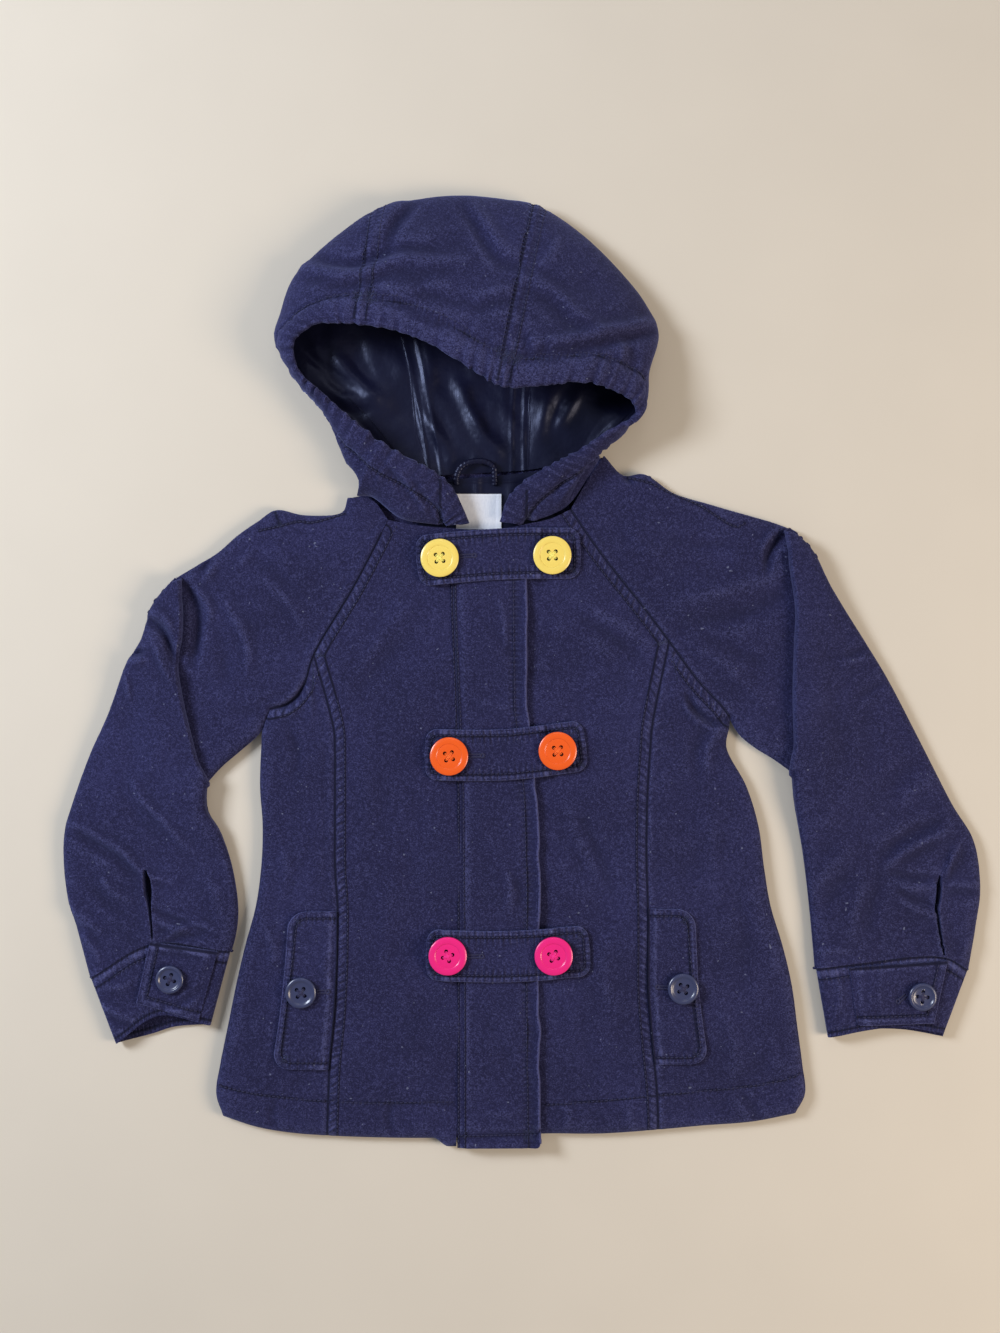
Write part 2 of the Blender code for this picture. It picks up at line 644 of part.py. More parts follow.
def tube(name, outer, inner):
    """A wall round a row of closed loops, open at both ends."""
    rows, count = outer.shape[:2]
    total = rows * count
    index = np.arange(total).reshape(rows, count)
    turned = np.roll(index, -1, axis=1)
    skin = np.stack([index[:-1], turned[:-1], turned[1:], index[1:]], axis=-1).reshape(-1, 4)
    first = np.stack([turned[0], index[0], index[0] + total, turned[0] + total], axis=-1)
    last = np.stack([index[-1], turned[-1], turned[-1] + total, index[-1] + total], axis=-1)
    faces = np.vstack([skin, skin[:, TURNED_OVER] + total, first, last])
    points = np.vstack([outer.reshape(-1, 3), inner.reshape(-1, 3)])
    corners = points[faces]
    volume = np.einsum("ij,ij->i", corners[:, 0], np.cross(corners[:, 1], corners[:, 2])).sum()
    volume += np.einsum("ij,ij->i", corners[:, 0], np.cross(corners[:, 2], corners[:, 3])).sum()
    if volume < 0:
        faces = faces[:, TURNED_OVER]
    data = bpy.data.meshes.new(name)
    data.from_pydata((points * MM).tolist(), [], faces.tolist())
    data.shade_smooth()
    return new_object(name, data, "navy_cotton")


def wing_profile(row):
    """From the hood's edge down to the front neckline."""
    edge, neck = row[:3], row[3:]
    turn = np.linspace(0, np.pi / 2, CROWN_STEPS + ROUND_STEPS + FLOOR_STEPS + 1)
    plan = edge[:2] + (neck[:2] - edge[:2]) * np.sin(turn)[:, None]
    return np.column_stack([plan, neck[2] + (edge[2] - neck[2]) * np.cos(turn)])


def crown_profile(row, inward, lift):
    """From the hood's edge over to its side, under, and along the surface to the neck."""
    edge, side, neck = row[:3], row[3:5], row[5:]
    far = np.linalg.norm(neck - side)
    inward = np.array(inward) + (neck - side) / far
    inward /= np.linalg.norm(inward)
    tuck = np.clip(TUCK_SHARE * far, *SIDE_TUCK)
    turn = np.linspace(0, np.pi / 2, CROWN_STEPS + 1)[:, None]
    over = edge[:2] + (side - edge[:2]) * np.sin(turn)
    fall = 0.6 * np.cos(turn) + 0.4 * (1 - np.sin(turn))
    over = np.column_stack([over, SIDE_Z + (edge[2] - SIDE_Z) * fall])
    turn = np.linspace(0, np.pi / 2, ROUND_STEPS + 1)[1:, None]
    under = side + inward * tuck * (1 - np.cos(turn))
    under = np.column_stack([under, lift + (SIDE_Z - lift) * (1 - np.sin(turn))])
    start = under[-1, :2]
    share = np.linspace(0, 1, FLOOR_STEPS + 1)[1:, None]
    bow = FLOOR_BOW * far * np.sin(np.pi * share)
    floor = np.column_stack([start + (neck - start) * share + inward * bow, np.full(FLOOR_STEPS, lift)])
    return np.vstack([over, under, floor])


def hood_grid():
    """The hood's outer surface, a row for each line from its opening to the neck, and its normals."""
    right = np.array([wing_profile(row) for row in smooth(HOOD_RIGHT_WING, 2)])
    rows = smooth(HOOD_CROWN, 2)
    heading = np.gradient(rows[:, 3:5], axis=0)
    heading /= np.linalg.norm(heading, axis=1, keepdims=True)
    from_end = np.minimum(np.arange(len(rows)), np.arange(len(rows))[::-1])
    lifts = NECK_LIFT * np.clip(1 - from_end / LIFTED_ROWS, 0, 1)
    crown = np.array([crown_profile(row, (y, -x), lift) for row, (x, y), lift in zip(rows, heading, lifts)])
    left = np.array([wing_profile(row) for row in smooth(HOOD_LEFT_WING, 2)])
    share = np.linspace(0, 1, WING_ROWS + 2)[1:-1, None, None]
    grid = np.vstack([
        right, right[-1:] * (1 - share) + crown[:1] * share,
        crown, crown[-1:] * (1 - share) + left[:1] * share, left,
    ])
    normals = np.cross(np.gradient(grid, axis=1), np.gradient(grid, axis=0))
    normals /= np.linalg.norm(normals, axis=-1, keepdims=True)
    normals *= math.copysign(1, normals[len(grid) // 2, 0, 2])
    crown_rows = slice(len(right) + WING_ROWS + 1, len(grid) - len(left) - WING_ROWS - 1)
    normals[crown_rows, -FLOOR_STEPS - 1 :] = (0, 0, -1)
    for _ in range(NORMAL_PASSES):
        padded = np.pad(normals, ((1, 1), (0, 0), (0, 0)), mode="edge")
        normals = padded[:-2] + 2 * padded[1:-1] + padded[2:]
        normals /= np.linalg.norm(normals, axis=-1, keepdims=True)
    return grid, normals


def make_hood():
    grid, normals = hood_grid()
    first = 2 * len(HOOD_RIGHT_WING) - 1 + WING_ROWS
    seams = [first + 2 * row for row in HOOD_SEAM_ROWS]
    last = len(grid) - 1
    stretches = {
        # name: rows of the shell, rows of its lining that are left out at each end
        "right": (0, seams[0], UNLINED_ROWS, 0),
        "centre": (*seams, 0, 0),
        "left": (seams[1], last, 0, UNLINED_ROWS),
    }
    lining_depth = HOOD_CLOTH + 1.5 * GAP
    for name, (start, end, skip_first, skip_last) in stretches.items():
        points = grid[start : end + 1].copy()
        facing = normals[start : end + 1]
        for edge, inside in ((0, 1), (-1, -2)):
            away = points[inside] - points[edge]
            points[edge] += away * (GAP / 2) / np.linalg.norm(away, axis=-1, keepdims=True)
        outer, inner = points[:, ::-1], (points - facing * HOOD_CLOTH)[:, ::-1]
        wall(f"hood_{name}", outer, inner, "navy_cotton")
        lined = slice(skip_first, len(points) - skip_last)
        outer, inner = (
            (points - facing * depth)[lined, -2:0:-1] for depth in (lining_depth, lining_depth + LINING)
        )
        wall(f"hood_lining_{name}", outer, inner, "navy_satin")


def make_neck():
    outline = [(-60, 88), (40, 88), (42, 143), (20, 142), (-10, 139), (-40, 136), (-62, 134)]
    plate("neck_lining", outline, CLOTH + GAP, LINING - GAP, "navy_satin")
    x_from, x_to, y_from, y_to = LABEL_BOX
    box = [(x_from, y_from), (x_to, y_from), (x_to, y_to), (x_from, y_to)]
    plate("neck_label", box, CLOTH + LINING + GAP, LABEL, "white_label")
    data = bpy.data.curves.new("hanger_loop", "CURVE")
    data.dimensions = "3D"
    data.bevel_depth = HANGER_RADIUS * MM
    data.bevel_resolution = 1
    data.use_fill_caps = True
    spline = data.splines.new("POLY")
    line = smooth(HANGER, 2)
    spline.points.add(len(line) - 1)
    for point, place in zip(spline.points, line):
        point.co = (*(place * MM), 1)
    new_object("hanger_loop", data, "navy_satin")


def button_mesh(across):
    """Half the button's section, for a Screw: from the middle of its top, over the rim, to the middle of its back."""
    radius = across / 2
    section = ((0, 2.4), (0.64, 2.4), (0.78, BUTTON_HIGH), (0.94, 3.5), (1, 2.2), (0.85, 0), (0, 0))
    data = bpy.data.meshes.new("button")
    points = [(share * radius * MM, 0, high * MM) for share, high in section]
    data.from_pydata(points, [(i, i + 1) for i in range(len(points) - 1)], [])
    return data


def hole_cutter():
    """Four pins that cut a button's holes."""
    pins = []
    for x in (-1, 1):
        for y in (-1, 1):
            bpy.ops.mesh.primitive_cylinder_add(
                vertices=6, radius=HOLE_RADIUS * MM, depth=3 * BUTTON_HIGH * MM,
                location=(x * HOLE_PITCH / 2 * MM, y * HOLE_PITCH / 2 * MM, BUTTON_HIGH / 2 * MM),
            )
            pins.append(bpy.context.object)
    with bpy.context.temp_override(active_object=pins[0], object=pins[0], selected_objects=pins,
                                   selected_editable_objects=pins):
        bpy.ops.object.transform_apply(location=True, rotation=False, scale=False)
        bpy.ops.object.join()
    joined_pins = bpy.context.scene.objects[pins[0].name]
    data = joined_pins.data.copy()
    bpy.data.objects.remove(joined_pins)
    return data


def make_buttons():
    pins = hole_cutter()
    meshes = {size: button_mesh(across) for size, across in BUTTON_ACROSS.items()}
    finishes = {"button_top": "yellow_plastic", "button_middle": "orange_plastic", "button_bottom": "pink_plastic"}
    for name, (size, x, y) in BUTTONS.items():
        place = np.array([[x, y]], float)
        if size == "large":
            reach = BUTTON_ACROSS[size] * SEAT_SHARE
            around = [(x + across, y) for across in np.linspace(-reach, reach, 9)]
            seat = (tab_low(np.array(around)) + BAND).max()
        elif size == "pocket":
            seat = front_top(place)[0] + GAP + BAND
        else:
            seat = CUFF_HIGH + GAP + BAND
        finish = finishes.get(name.rsplit("_", 1)[0], "navy_plastic")
        data = meshes[size].copy()
        made = new_object(name, data, finish)
        made.location = Vector((x, y, seat + GAP)) * MM
        turned = made.modifiers.new("Turned", "SCREW")
        turned.axis = "Z"
        turned.steps = turned.render_steps = SCREW_STEPS
        turned.use_merge_vertices = True
        turned.merge_threshold = 0.00001
        turned.use_smooth_shade = True
        cutter = new_object(f"holes_{name}", pins, None, "cutters")
        cutter.location = made.location
        cutter.hide_render = True
        cutter.display_type = "WIRE"
        cut = made.modifiers.new("Holes", "BOOLEAN")
        cut.operation = "DIFFERENCE"
        cut.object = cutter


def centre_on_floor():
    """Moves the coat so that the middle of its box is over the origin."""
    bpy.context.view_layer.update()
    graph = bpy.context.evaluated_depsgraph_get()
    low, high = np.full(3, np.inf), np.full(3, -np.inf)
    for made in bpy.data.collections["hooded_coat"].objects:
        evaluated = made.evaluated_get(graph)
        points = np.array([evaluated.matrix_world @ point.co for point in evaluated.to_mesh().vertices])
        evaluated.to_mesh_clear()
        low, high = np.minimum(low, points.min(axis=0)), np.maximum(high, points.max(axis=0))
    middle = (low + high) / 2
    for name in ("hooded_coat", "cutters"):
        for made in bpy.data.collections[name].objects:
            made.location.x -= middle[0]
            made.location.y -= middle[1]


def main():
    for old in list(bpy.data.objects):
        bpy.data.objects.remove(old)
    for name in ("hooded_coat", "cutters"):
        bpy.context.scene.collection.children.link(bpy.data.collections.new(name))
    make_back()
    make_fronts()
    make_placket()
    make_tabs()
    make_flaps()
    make_sleeves()
    make_cuffs()
    make_hood()
    make_neck()
    make_buttons()
    centre_on_floor()


main()
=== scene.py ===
"""A child's hooded coat of brushed navy cotton, laid flat on its back with the hood's opening up.

Lengths are in millimetres until a mesh is made, which is in metres. x runs from the closing line towards the
wearer's left, y from the chest line up, and z is the height above the floor. Right and left are the wearer's.
Every sheet is a grid of points: its place, and how far and where along each point lies from the nearest sewn
lines, which the cloth's material reads.
"""

import json
import math

import bmesh
import bpy
import numpy as np
from mathutils import Matrix, Vector
from mathutils.kdtree import KDTree

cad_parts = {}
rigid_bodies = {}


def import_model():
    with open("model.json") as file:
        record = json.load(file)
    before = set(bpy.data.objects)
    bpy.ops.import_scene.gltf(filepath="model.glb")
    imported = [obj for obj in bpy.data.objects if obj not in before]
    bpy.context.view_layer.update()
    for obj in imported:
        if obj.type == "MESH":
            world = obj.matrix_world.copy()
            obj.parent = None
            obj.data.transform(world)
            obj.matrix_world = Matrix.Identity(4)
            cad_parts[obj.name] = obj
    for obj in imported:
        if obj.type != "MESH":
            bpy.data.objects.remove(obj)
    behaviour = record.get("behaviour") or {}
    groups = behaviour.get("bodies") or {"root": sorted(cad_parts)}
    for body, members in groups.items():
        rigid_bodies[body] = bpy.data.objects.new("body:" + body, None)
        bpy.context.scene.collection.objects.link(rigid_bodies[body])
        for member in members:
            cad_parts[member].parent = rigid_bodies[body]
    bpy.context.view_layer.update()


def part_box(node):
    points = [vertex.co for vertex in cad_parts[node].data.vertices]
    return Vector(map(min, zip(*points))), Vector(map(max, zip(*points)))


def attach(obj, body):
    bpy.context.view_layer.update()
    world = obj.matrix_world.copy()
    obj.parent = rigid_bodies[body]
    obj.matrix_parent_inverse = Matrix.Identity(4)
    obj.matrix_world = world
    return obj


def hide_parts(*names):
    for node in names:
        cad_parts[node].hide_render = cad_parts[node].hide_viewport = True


bl_info = {
    "name": "Hooded coat",
    "version": (1, 0, 0),
    "blender": (4, 5, 0),
    "location": "3D View > Sidebar > Coat",
    "description": "Makes a child's hooded coat laid flat: panels, hood, tabs, cuffs, buttons and stitching",
    "category": "Add Mesh",
}

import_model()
BODY_NAME = "root"
MM = 0.001
FAR = 99.0  # the distance to a sewn line that a piece doesn't have
MIDDLE = np.array([-16.5, 3.925, 0.0])  # from the coat's own axes to the scene's

# Heights, as the CAD model has them
GAP = 0.3
CLOTH = 2.6
BAND = 2.2
PLACKET = 2.4
RIM_TOP = 2 * CLOTH + GAP
RIM_ROUND = 8.0
RIM_RISE = 3.0
LOFT = 1.5
LOFT_REACH = 40.0
FOLD_RISE = 8.0
FOLD_REACH = 45.0
FOLD_TUCK = 8.0
LOWER_START = 0.02
TOP_POINTS = 4
CUFF_HIGH = 9.6
CUFF_SQUARE = 1.25
TAB_CORNER = 9.0
FLAP_CORNER = 13.0
TAB_SLOPE = (8.0, 16.0)
OUTWARD = {"right": -1, "left": 1}  # which way along x a side lies

# The cut and the sewing
TOPSTITCH = 7.5  # from a seam to its topstitching
HEM_DROP = 6.5  # how much lower the right front's hem lies beside the placket
HEM_DROP_BESIDE = -50
HEM_DROP_FROM = -318
FOLD_BULGE = 3.4  # how far the elbow's fold swells
PLACKET_CORNER = 4.0
PLACKET_HEM_STITCH = ((-30, -352), (28, -351))
PLACKET_LIFT = 1.7  # how much higher the placket's free edge stands between the tabs
TAB_LEVELS = (83, -65, -216)
TAB_STITCH = 4.2
FLAP_STITCH = 5.0
CUFF_SIDES = 112
CUFF_DEEP = 52.0
CUFF_STITCH = 9.0
CUFF_END_STITCH = 6.0
EDGE_ROLL = 0.35  # how much thicker a turned edge is outside its stitches
STITCH_DIP = 0.55  # how deep the stitches draw it in
NARROW_STEPS = (0, 0.4, 1.0, 1.8, 2.8)  # where the points of a narrow piece lie, from its edges in

# How the tables of creases are read
CREASE_GAIN = 1.7
LEAST_HIGH = 4.3  # no trough of the fronts and upper sleeves goes lower
LEAST_FOREARM = 4.0

# The walls that show
SHELL_WALL = 1.2
SATIN_WALL = 0.7
SEAM_HIGH = 2.75  # where the front's edge and the back's meet
BACK_ROUND = (5.0, 2.2)  # how wide and how high the back's edge is rounded
BACK_CLEAR = 0.02  # between the back and the floor
RIM_BULGE = 0.9
RIM_STEPS = 5
CUFF_WALL = 1.5
SHARP_ANGLE = 65.0  # an edge that turns by more than this many degrees is drawn sharp
CAMERA_HIGH = 1260.0
SHARP_HIGH = 10.0  # the height at which the photo's scale was read

# y, then x of the right side, right and left princess seams, left side
BODY = (
    (-46, -178, -125, 114, 172),
    (-60, -179, -124, 113, 170),
    (-90, -180, -124, 111, 185),
    (-120, -178, -124, 110, 194),
    (-150, -179, -124, 110, 198),
    (-180, -183, -122, 111, 203),
    (-210, -191, -122, 111, 212),
    (-240, -198, -123, 111, 219),
    (-270, -204, -125, 113, 223),
    (-300, -210, -128, 116, 227),
    (-322, -213, -129, 118, 229),
)
HEM = ((-208, -338), (-182, -346), (-150, -351), (-90, -354), (-33, -354), (32, -351), (75, -351),
       (118, -348), (151, -345), (190, -342), (222, -336))
# y, left stitching, free edge
PLACKET_EDGES = ((101, -37, 19), (46, -37, 19), (-33, -34, 20), (-96, -32, 27), (-165, -32, 29),
                 (-282, -32, 29), (-361, -32, 30))
RAGLAN = {
    "right": ((-173, -32), (-160, -28), (-148, -15), (-140, 9), (-110, 60), (-84, 110)),
    "left": ((173, -38), (166, -29), (149, -11), (127, 19), (105, 48), (75, 86), (53, 118)),
}
PRINCESS_TOP = {"right": (-140, 9), "left": (127, 19)}
NECKLINE = ((-84, 110), (-63, 106), (-40, 104), (-25, 103), (3, 104), (20, 107), (38, 111), (53, 118))
BACK_NECKLINE = ((-84, 110), (-74, 134), (-40, 138), (-10, 141), (20, 144), (46, 148), (53, 118))
SLEEVE = {
    "right": {
        "neck": ((-84, 110), (-96, 125), (-114, 127)),
        "back_neck": ((-84, 110), (-74, 134), (-95, 131), (-114, 127)),
        "shoulder": ((-114, 127), (-118, 116), (-147, 113), (-169, 117), (-182, 109), (-198, 98), (-213, 85),
                     (-228, 76), (-243, 67)),
        "outer": ((-243, 67), (-261, 45), (-269, 20), (-279, 5), (-294, -35), (-308, -66), (-321, -102),
                  (-327, -123), (-328, -144), (-325, -172), (-317, -200), (-308, -234)),
        "under": ((-173, -32), (-181, -49), (-196, -63), (-210, -75), (-221, -87)),
        "fold": ((-243, 67), (-237, 50), (-237, 22), (-240, 4), (-237, -20), (-228, -59), (-221, -87)),
        "inner": ((-221, -87), (-221, -108), (-212, -123), (-203, -149), (-198, -183), (-200, -203),
                  (-203, -214)),
        "cuff_seam": ((-308, -234), (-261, -208), (-203, -214)),
        "cuff_edge": ((-289, -284), (-256, -262), (-218, -270)),
        "cuff_under": ((-289, -284), (-262, -277), (-246, -272), (-218, -270)),
        "cuff_end": ((-272, -252), (-262, -207), (-212, -214), (-226, -265)),
    },
    "left": {
        "neck": ((53, 118), (66, 140), (78, 158)),
        "back_neck": ((53, 118), (46, 148), (78, 158)),
        "shoulder": ((78, 158), (93, 143), (109, 144), (131, 130), (157, 122), (185, 114), (206, 108),
                     (217, 104)),
        "outer": ((217, 104), (234, 87), (248, 60), (277, 14), (291, -9), (317, -59), (340, -104),
                  (356, -131), (361, -168), (358, -192), (352, -228)),
        "under": ((173, -38), (181, -51), (193, -61), (206, -69), (220, -79)),
        "fold": ((217, 104), (215, 84), (220, 44), (219, 16), (218, -21), (219, -55), (220, -79)),
        "inner": ((220, -79), (222, -101), (229, -141), (234, -183), (238, -227)),
        "cuff_seam": ((352, -228), (334, -218), (276, -222), (238, -227)),
        "cuff_edge": ((334, -276), (304, -271), (277, -273), (247, -279)),
        "cuff_under": ((334, -279), (304, -274), (277, -274), (247, -279)),
        "cuff_end": ((325, -267), (335, -221), (262, -226), (268, -269)),
    },
}
TAB_WIDTH = 37.0
TABS = {
    "tab_top": ((-62, 79), (-1, 84), (60, 85)),
    "tab_middle": ((-56, -66), (4, -66), (64, -59)),
    "tab_bottom": ((-55, -216), (5, -217), (67, -213)),
}
FLAPS = {
    "right_flap": {"top": -184, "bottom": -302, "wide_top": 36, "wide_bottom": 42},
    "left_flap": {"top": -182, "bottom": -298, "wide_top": 34, "wide_bottom": 40},
}
# The hood's lines from its opening to the neck. A wing's row is its edge's x, y, z and the neck's x, y, z. A
# crown's row is its edge's x, y, z, the side's x, y that it passes over, and the neck's x, y.
HOOD_RIGHT_WING = ((-25, 107, 14, -38, 106, 9.6), (-36, 131, 20, -52, 107, 9.6),
                   (-50, 143, 25, -74, 111, 9.6), (-77, 157, 30, -96, 127, 9.6),
                   (-90, 165, 31, -107, 128, 8.8))
HOOD_CROWN = (
    (-103, 174, 33, -115, 152, -103, 137),
    (-131, 197, 33, -131, 188, -90, 136),
    (-149, 214, 33, -150, 211, -74, 139),
    (-155, 240, 35, -169, 244, -66, 139),
    (-139, 252, 40, -165, 264, -61, 140),
    (-125, 253, 44, -154, 292, -56, 140),
    (-113, 253, 46, -122, 323, -52, 140),
    (-102, 252, 48, -91, 343, -48, 140),
    (-73, 246, 51, -56, 351, -36, 141),
    (-44, 233, 54, -26, 353, -19, 142),
    (-18, 216, 56, 4, 350, -2, 143),
    (2, 205, 57, 29, 345, 14, 144),
    (33, 206, 56, 60, 325, 28, 146),
    (62, 209, 52, 88, 298, 40, 149),
    (84, 204, 46, 109, 272, 47, 150),
    (97, 198, 40, 119, 249, 53, 152),
    (103, 190, 34, 112, 221, 59, 154),
    (103, 183, 30, 110, 199, 65, 156),
    (83, 172, 29, 89, 171, 71, 159),
)
HOOD_LEFT_WING = ((60, 159, 28, 75, 156, 8.0), (42, 150, 26, 66, 142, 9.6), (20, 137, 21, 51, 121, 9.6),
                  (8, 125, 17, 34, 112, 9.6), (2, 108, 14, 14, 107, 9.6))
HOOD_SEAM_ROWS = (7, 11)
HOOD_FINE = 12  # rows of points for each row above
WING_ROWS = 23
SIDE_Z = 11.0
SIDE_TUCK = (6.5, 8.0)
TUCK_SHARE = 0.35
NECK_LIFT = 5.0
LIFTED_ROWS = 4
FLOOR_BOW = 0.12
CROWN_STEPS, ROUND_STEPS, FLOOR_STEPS = 44, 14, 34

# Creases: the height in the middle, where below 0 is a trough, the half width, and the points of the line
BODY_CREASES = (
    # the upper front, from the tab's corners and the armpits
    (0.9, 7, (56, 50), (82, 36), (112, 20)),
    (-0.9, 6, (60, 38), (84, 22), (108, 2)),
    (0.7, 6, (-66, 44), (-84, 30), (-100, 6)),
    (-0.8, 7, (-64, 26), (-84, 8), (-108, -20)),
    (-3.0, 2.4, (141, -22), (146, -31), (152, -37), (161, -42), (171, -40)),
    (1.3, 2.6, (138, -26), (143, -36), (152, -43), (162, -47)),
    (0.9, 4, (165, -46), (157, -60), (155, -78)),
    (-0.8, 5, (150, -48), (146, -66), (150, -92)),
    (-2.2, 2.2, (-172, -31), (-162, -30), (-152, -23), (-146, -12)),
    (1.0, 2.6, (-168, -37), (-157, -35), (-148, -27)),
    (-0.9, 4, (-160, -44), (-152, -66), (-155, -84)),
    (0.7, 3, (-146, -14), (-142, -26), (-143, -44)),
    # down the body
    (0.6, 8, (-104, -60), (-98, -96), (-106, -140)),
    (-0.6, 9, (-62, -110), (-70, -150), (-60, -190)),
    (0.5, 7, (-92, -150), (-84, -190), (-90, -230)),
    (0.6, 5, (-170, -120), (-160, -150), (-166, -180)),
    (0.8, 4, (-176, -196), (-170, -212), (-172, -226)),
    (-0.6, 6, (60, -110), (74, -140), (86, -176)),
    (0.6, 6, (50, -96), (58, -128), (76, -160)),
    (0.6, 8, (88, -190), (80, -220), (84, -262)),
    (-0.5, 7, (70, -240), (64, -276), (70, -312)),
    (0.5, 7, (150, -90), (160, -122), (156, -160)),
    (-0.6, 7, (170, -150), (184, -196), (182, -240)),
    (0.5, 6, (166, -250), (176, -290), (172, -316)),
    (0.7, 3, (96, -330), (99, -344), (104, -352)),
    (-0.9, 2.4, (-80, -326), (-84, -340), (-80, -353)),
    (0.7, 3, (46, -324), (52, -338), (48, -350)),
    (-0.8, 3, (182, -322), (190, -332), (196, -342)),
    (-0.8, 2.6, (-168, -324), (-172, -338), (-166, -350)),
    # the right upper sleeve
    (1.7, 4.5, (-208, 52), (-202, 40), (-193, 26), (-189, 8), (-190, -6)),
    (-1.2, 6, (-214, 30), (-208, 10), (-206, -16)),
    (-3.4, 4.0, (-240, 66), (-232, 56), (-227, 42), (-228, 20), (-231, 2)),
    (1.6, 3.0, (-237, 64), (-226, 54), (-218, 44), (-217, 34)),
    (1.5, 2.6, (-222, 66), (-217, 72), (-214, 78)),
    (-1.6, 2.4, (-226, 70), (-221, 76), (-217, 84)),
    (0.9, 5, (-176, 64), (-158, 46), (-148, 28)),
    (-0.9, 6, (-196, 84), (-172, 72), (-152, 56)),
    (-0.8, 6, (-206, -30), (-190, -34), (-174, -28)),
    (0.8, 4, (-196, 76), (-190, 83), (-184, 87)),
    # the left upper sleeve
    (1.4, 8, (130, 48), (160, 55), (186, 62), (209, 72)),
    (-1.6, 8, (150, 36), (178, 38), (205, 50), (214, 58)),
    (1.0, 6, (140, 22), (165, 4), (184, -14), (206, -30)),
    (-1.0, 6, (156, 22), (184, 8), (208, -2)),
    (-3.0, 3.0, (218, 101), (210, 96), (203, 86), (200, 72)),
    (1.6, 3.2, (212, 103), (203, 98), (196, 88)),
    (-0.9, 5, (120, 100), (146, 92), (176, 92)),
    (0.7, 5, (96, 104), (110, 88), (130, 76)),
    (-2.6, 1.6, (91, 148), (94, 143), (99, 138)),
)
FOREARM_CREASES = {
    "right": (
        (-4.2, 3.0, (-264, 35), (-259, 32), (-251, 25), (-246, 13), (-241, 0)),
        (2.0, 3.0, (-267, 39), (-259, 40), (-250, 36), (-244, 27)),
        (1.8, 3.2, (-262, 22), (-256, 12), (-250, -2), (-244, -14)),
        (-3.6, 2.6, (-278, 9), (-272, 10), (-266, 12)),
        (1.6, 2.6, (-278, 4), (-271, 4), (-264, 6)),
        (1.2, 2.4, (-281, -4), (-279, -14), (-277, -26)),
        (0.8, 9, (-262, -30), (-256, -60), (-262, -84)),
        (-0.8, 8, (-282, -40), (-276, -66), (-284, -92)),
        (1.2, 3.4, (-277, -82), (-266, -102), (-251, -117), (-241, -129), (-230, -141)),
        (-0.9, 5, (-284, -96), (-270, -116), (-254, -130)),
        (1.7, 2.8, (-325, -117), (-312, -122), (-300, -129), (-283, -139), (-270, -153), (-262, -157),
         (-247, -162)),
        (-1.6, 4.5, (-318, -126), (-300, -137), (-286, -147), (-274, -160)),
        (1.2, 2.8, (-300, -158), (-290, -169), (-277, -176)),
        (-1.0, 4, (-306, -166), (-296, -178), (-284, -186)),
        (1.4, 2.6, (-327, -170), (-320, -183), (-311, -190), (-300, -199)),
        (-1.0, 3, (-322, -192), (-312, -199), (-302, -208)),
        (1.0, 2.2, (-316, -190), (-307, -209), (-300, -222)),
        (-1.8, 2.4, (-261, -181), (-252, -187), (-240, -192), (-222, -198)),
        (1.5, 2.6, (-260, -187), (-250, -194), (-236, -199)),
        (1.3, 2.6, (-253, -204), (-241, -197), (-228, -194), (-212, -198)),
        (-1.4, 2.4, (-248, -207), (-236, -203), (-222, -202)),
        (0.8, 6, (-224, -150), (-214, -168), (-210, -190)),
    ),
    "left": (
        (1.9, 3.2, (290, -150), (297, -145), (304, -139), (319, -131), (336, -124)),
        (-2.0, 4.0, (287, -141), (300, -131), (316, -122), (330, -116)),
        (-1.9, 2.6, (294, -155), (307, -158), (320, -159), (333, -160)),
        (1.3, 2.6, (300, -163), (312, -166), (326, -166)),
        (-1.7, 2.2, (300, -169), (311, -175), (321, -178), (328, -181)),
        (1.1, 2.4, (302, -176), (312, -182), (324, -186)),
        (1.1, 2.4, (338, -163), (348, -164), (360, -164)),
        (-1.0, 2.6, (338, -170), (348, -170), (358, -171)),
        (2.0, 3.0, (346, -132), (339, -145), (334, -158)),
        (1.0, 8, (266, -134), (250, -150), (236, -166)),
        (-0.9, 8, (258, -156), (246, -176), (240, -192)),
        (0.9, 7, (300, -104), (312, -92), (324, -84)),
        (-0.8, 7, (290, -92), (304, -78), (316, -70)),
        (-1.0, 7, (286, -153), (280, -176), (276, -200)),
        (0.8, 6, (272, -168), (266, -186), (262, -204)),
        (0.9, 2.8, (238, -215), (250, -213), (262, -214)),
        (-1.0, 3.0, (258, 8), (268, 11), (276, 15)),
        (0.7, 3.0, (256, 2), (266, 5), (276, 8)),
        (-0.8, 4, (268, -24), (280, -16), (292, -10)),
        (0.6, 10, (232, 30), (236, -10), (232, -50)),
        (-0.7, 9, (250, -20), (256, -50), (252, -84)),
        (0.7, 2.4, (356, -200), (352, -208), (348, -218)),
    ),
}
PLACKET_CREASES = (
    (-1.3, 2.6, (12, -160), (15, -170), (14, -182)),
    (0.9, 3.0, (4, -150), (7, -166), (6, -184)),
    (-1.0, 3.0, (4, 40), (8, 24), (9, 6)),
    (0.9, 3.0, (-2, 52), (4, 34), (6, 18)),
    (-0.7, 4, (-18, 38), (0, 20), (14, -6)),
    (0.7, 4, (-22, -20), (-4, -30), (14, -28)),
    (0.6, 5, (-20, -110), (-6, -130), (4, -142)),
    (-0.6, 5, (-22, -250), (-6, -272), (8, -300)),
    (0.7, 4, (-20, -330), (0, -336), (20, -330)),
)
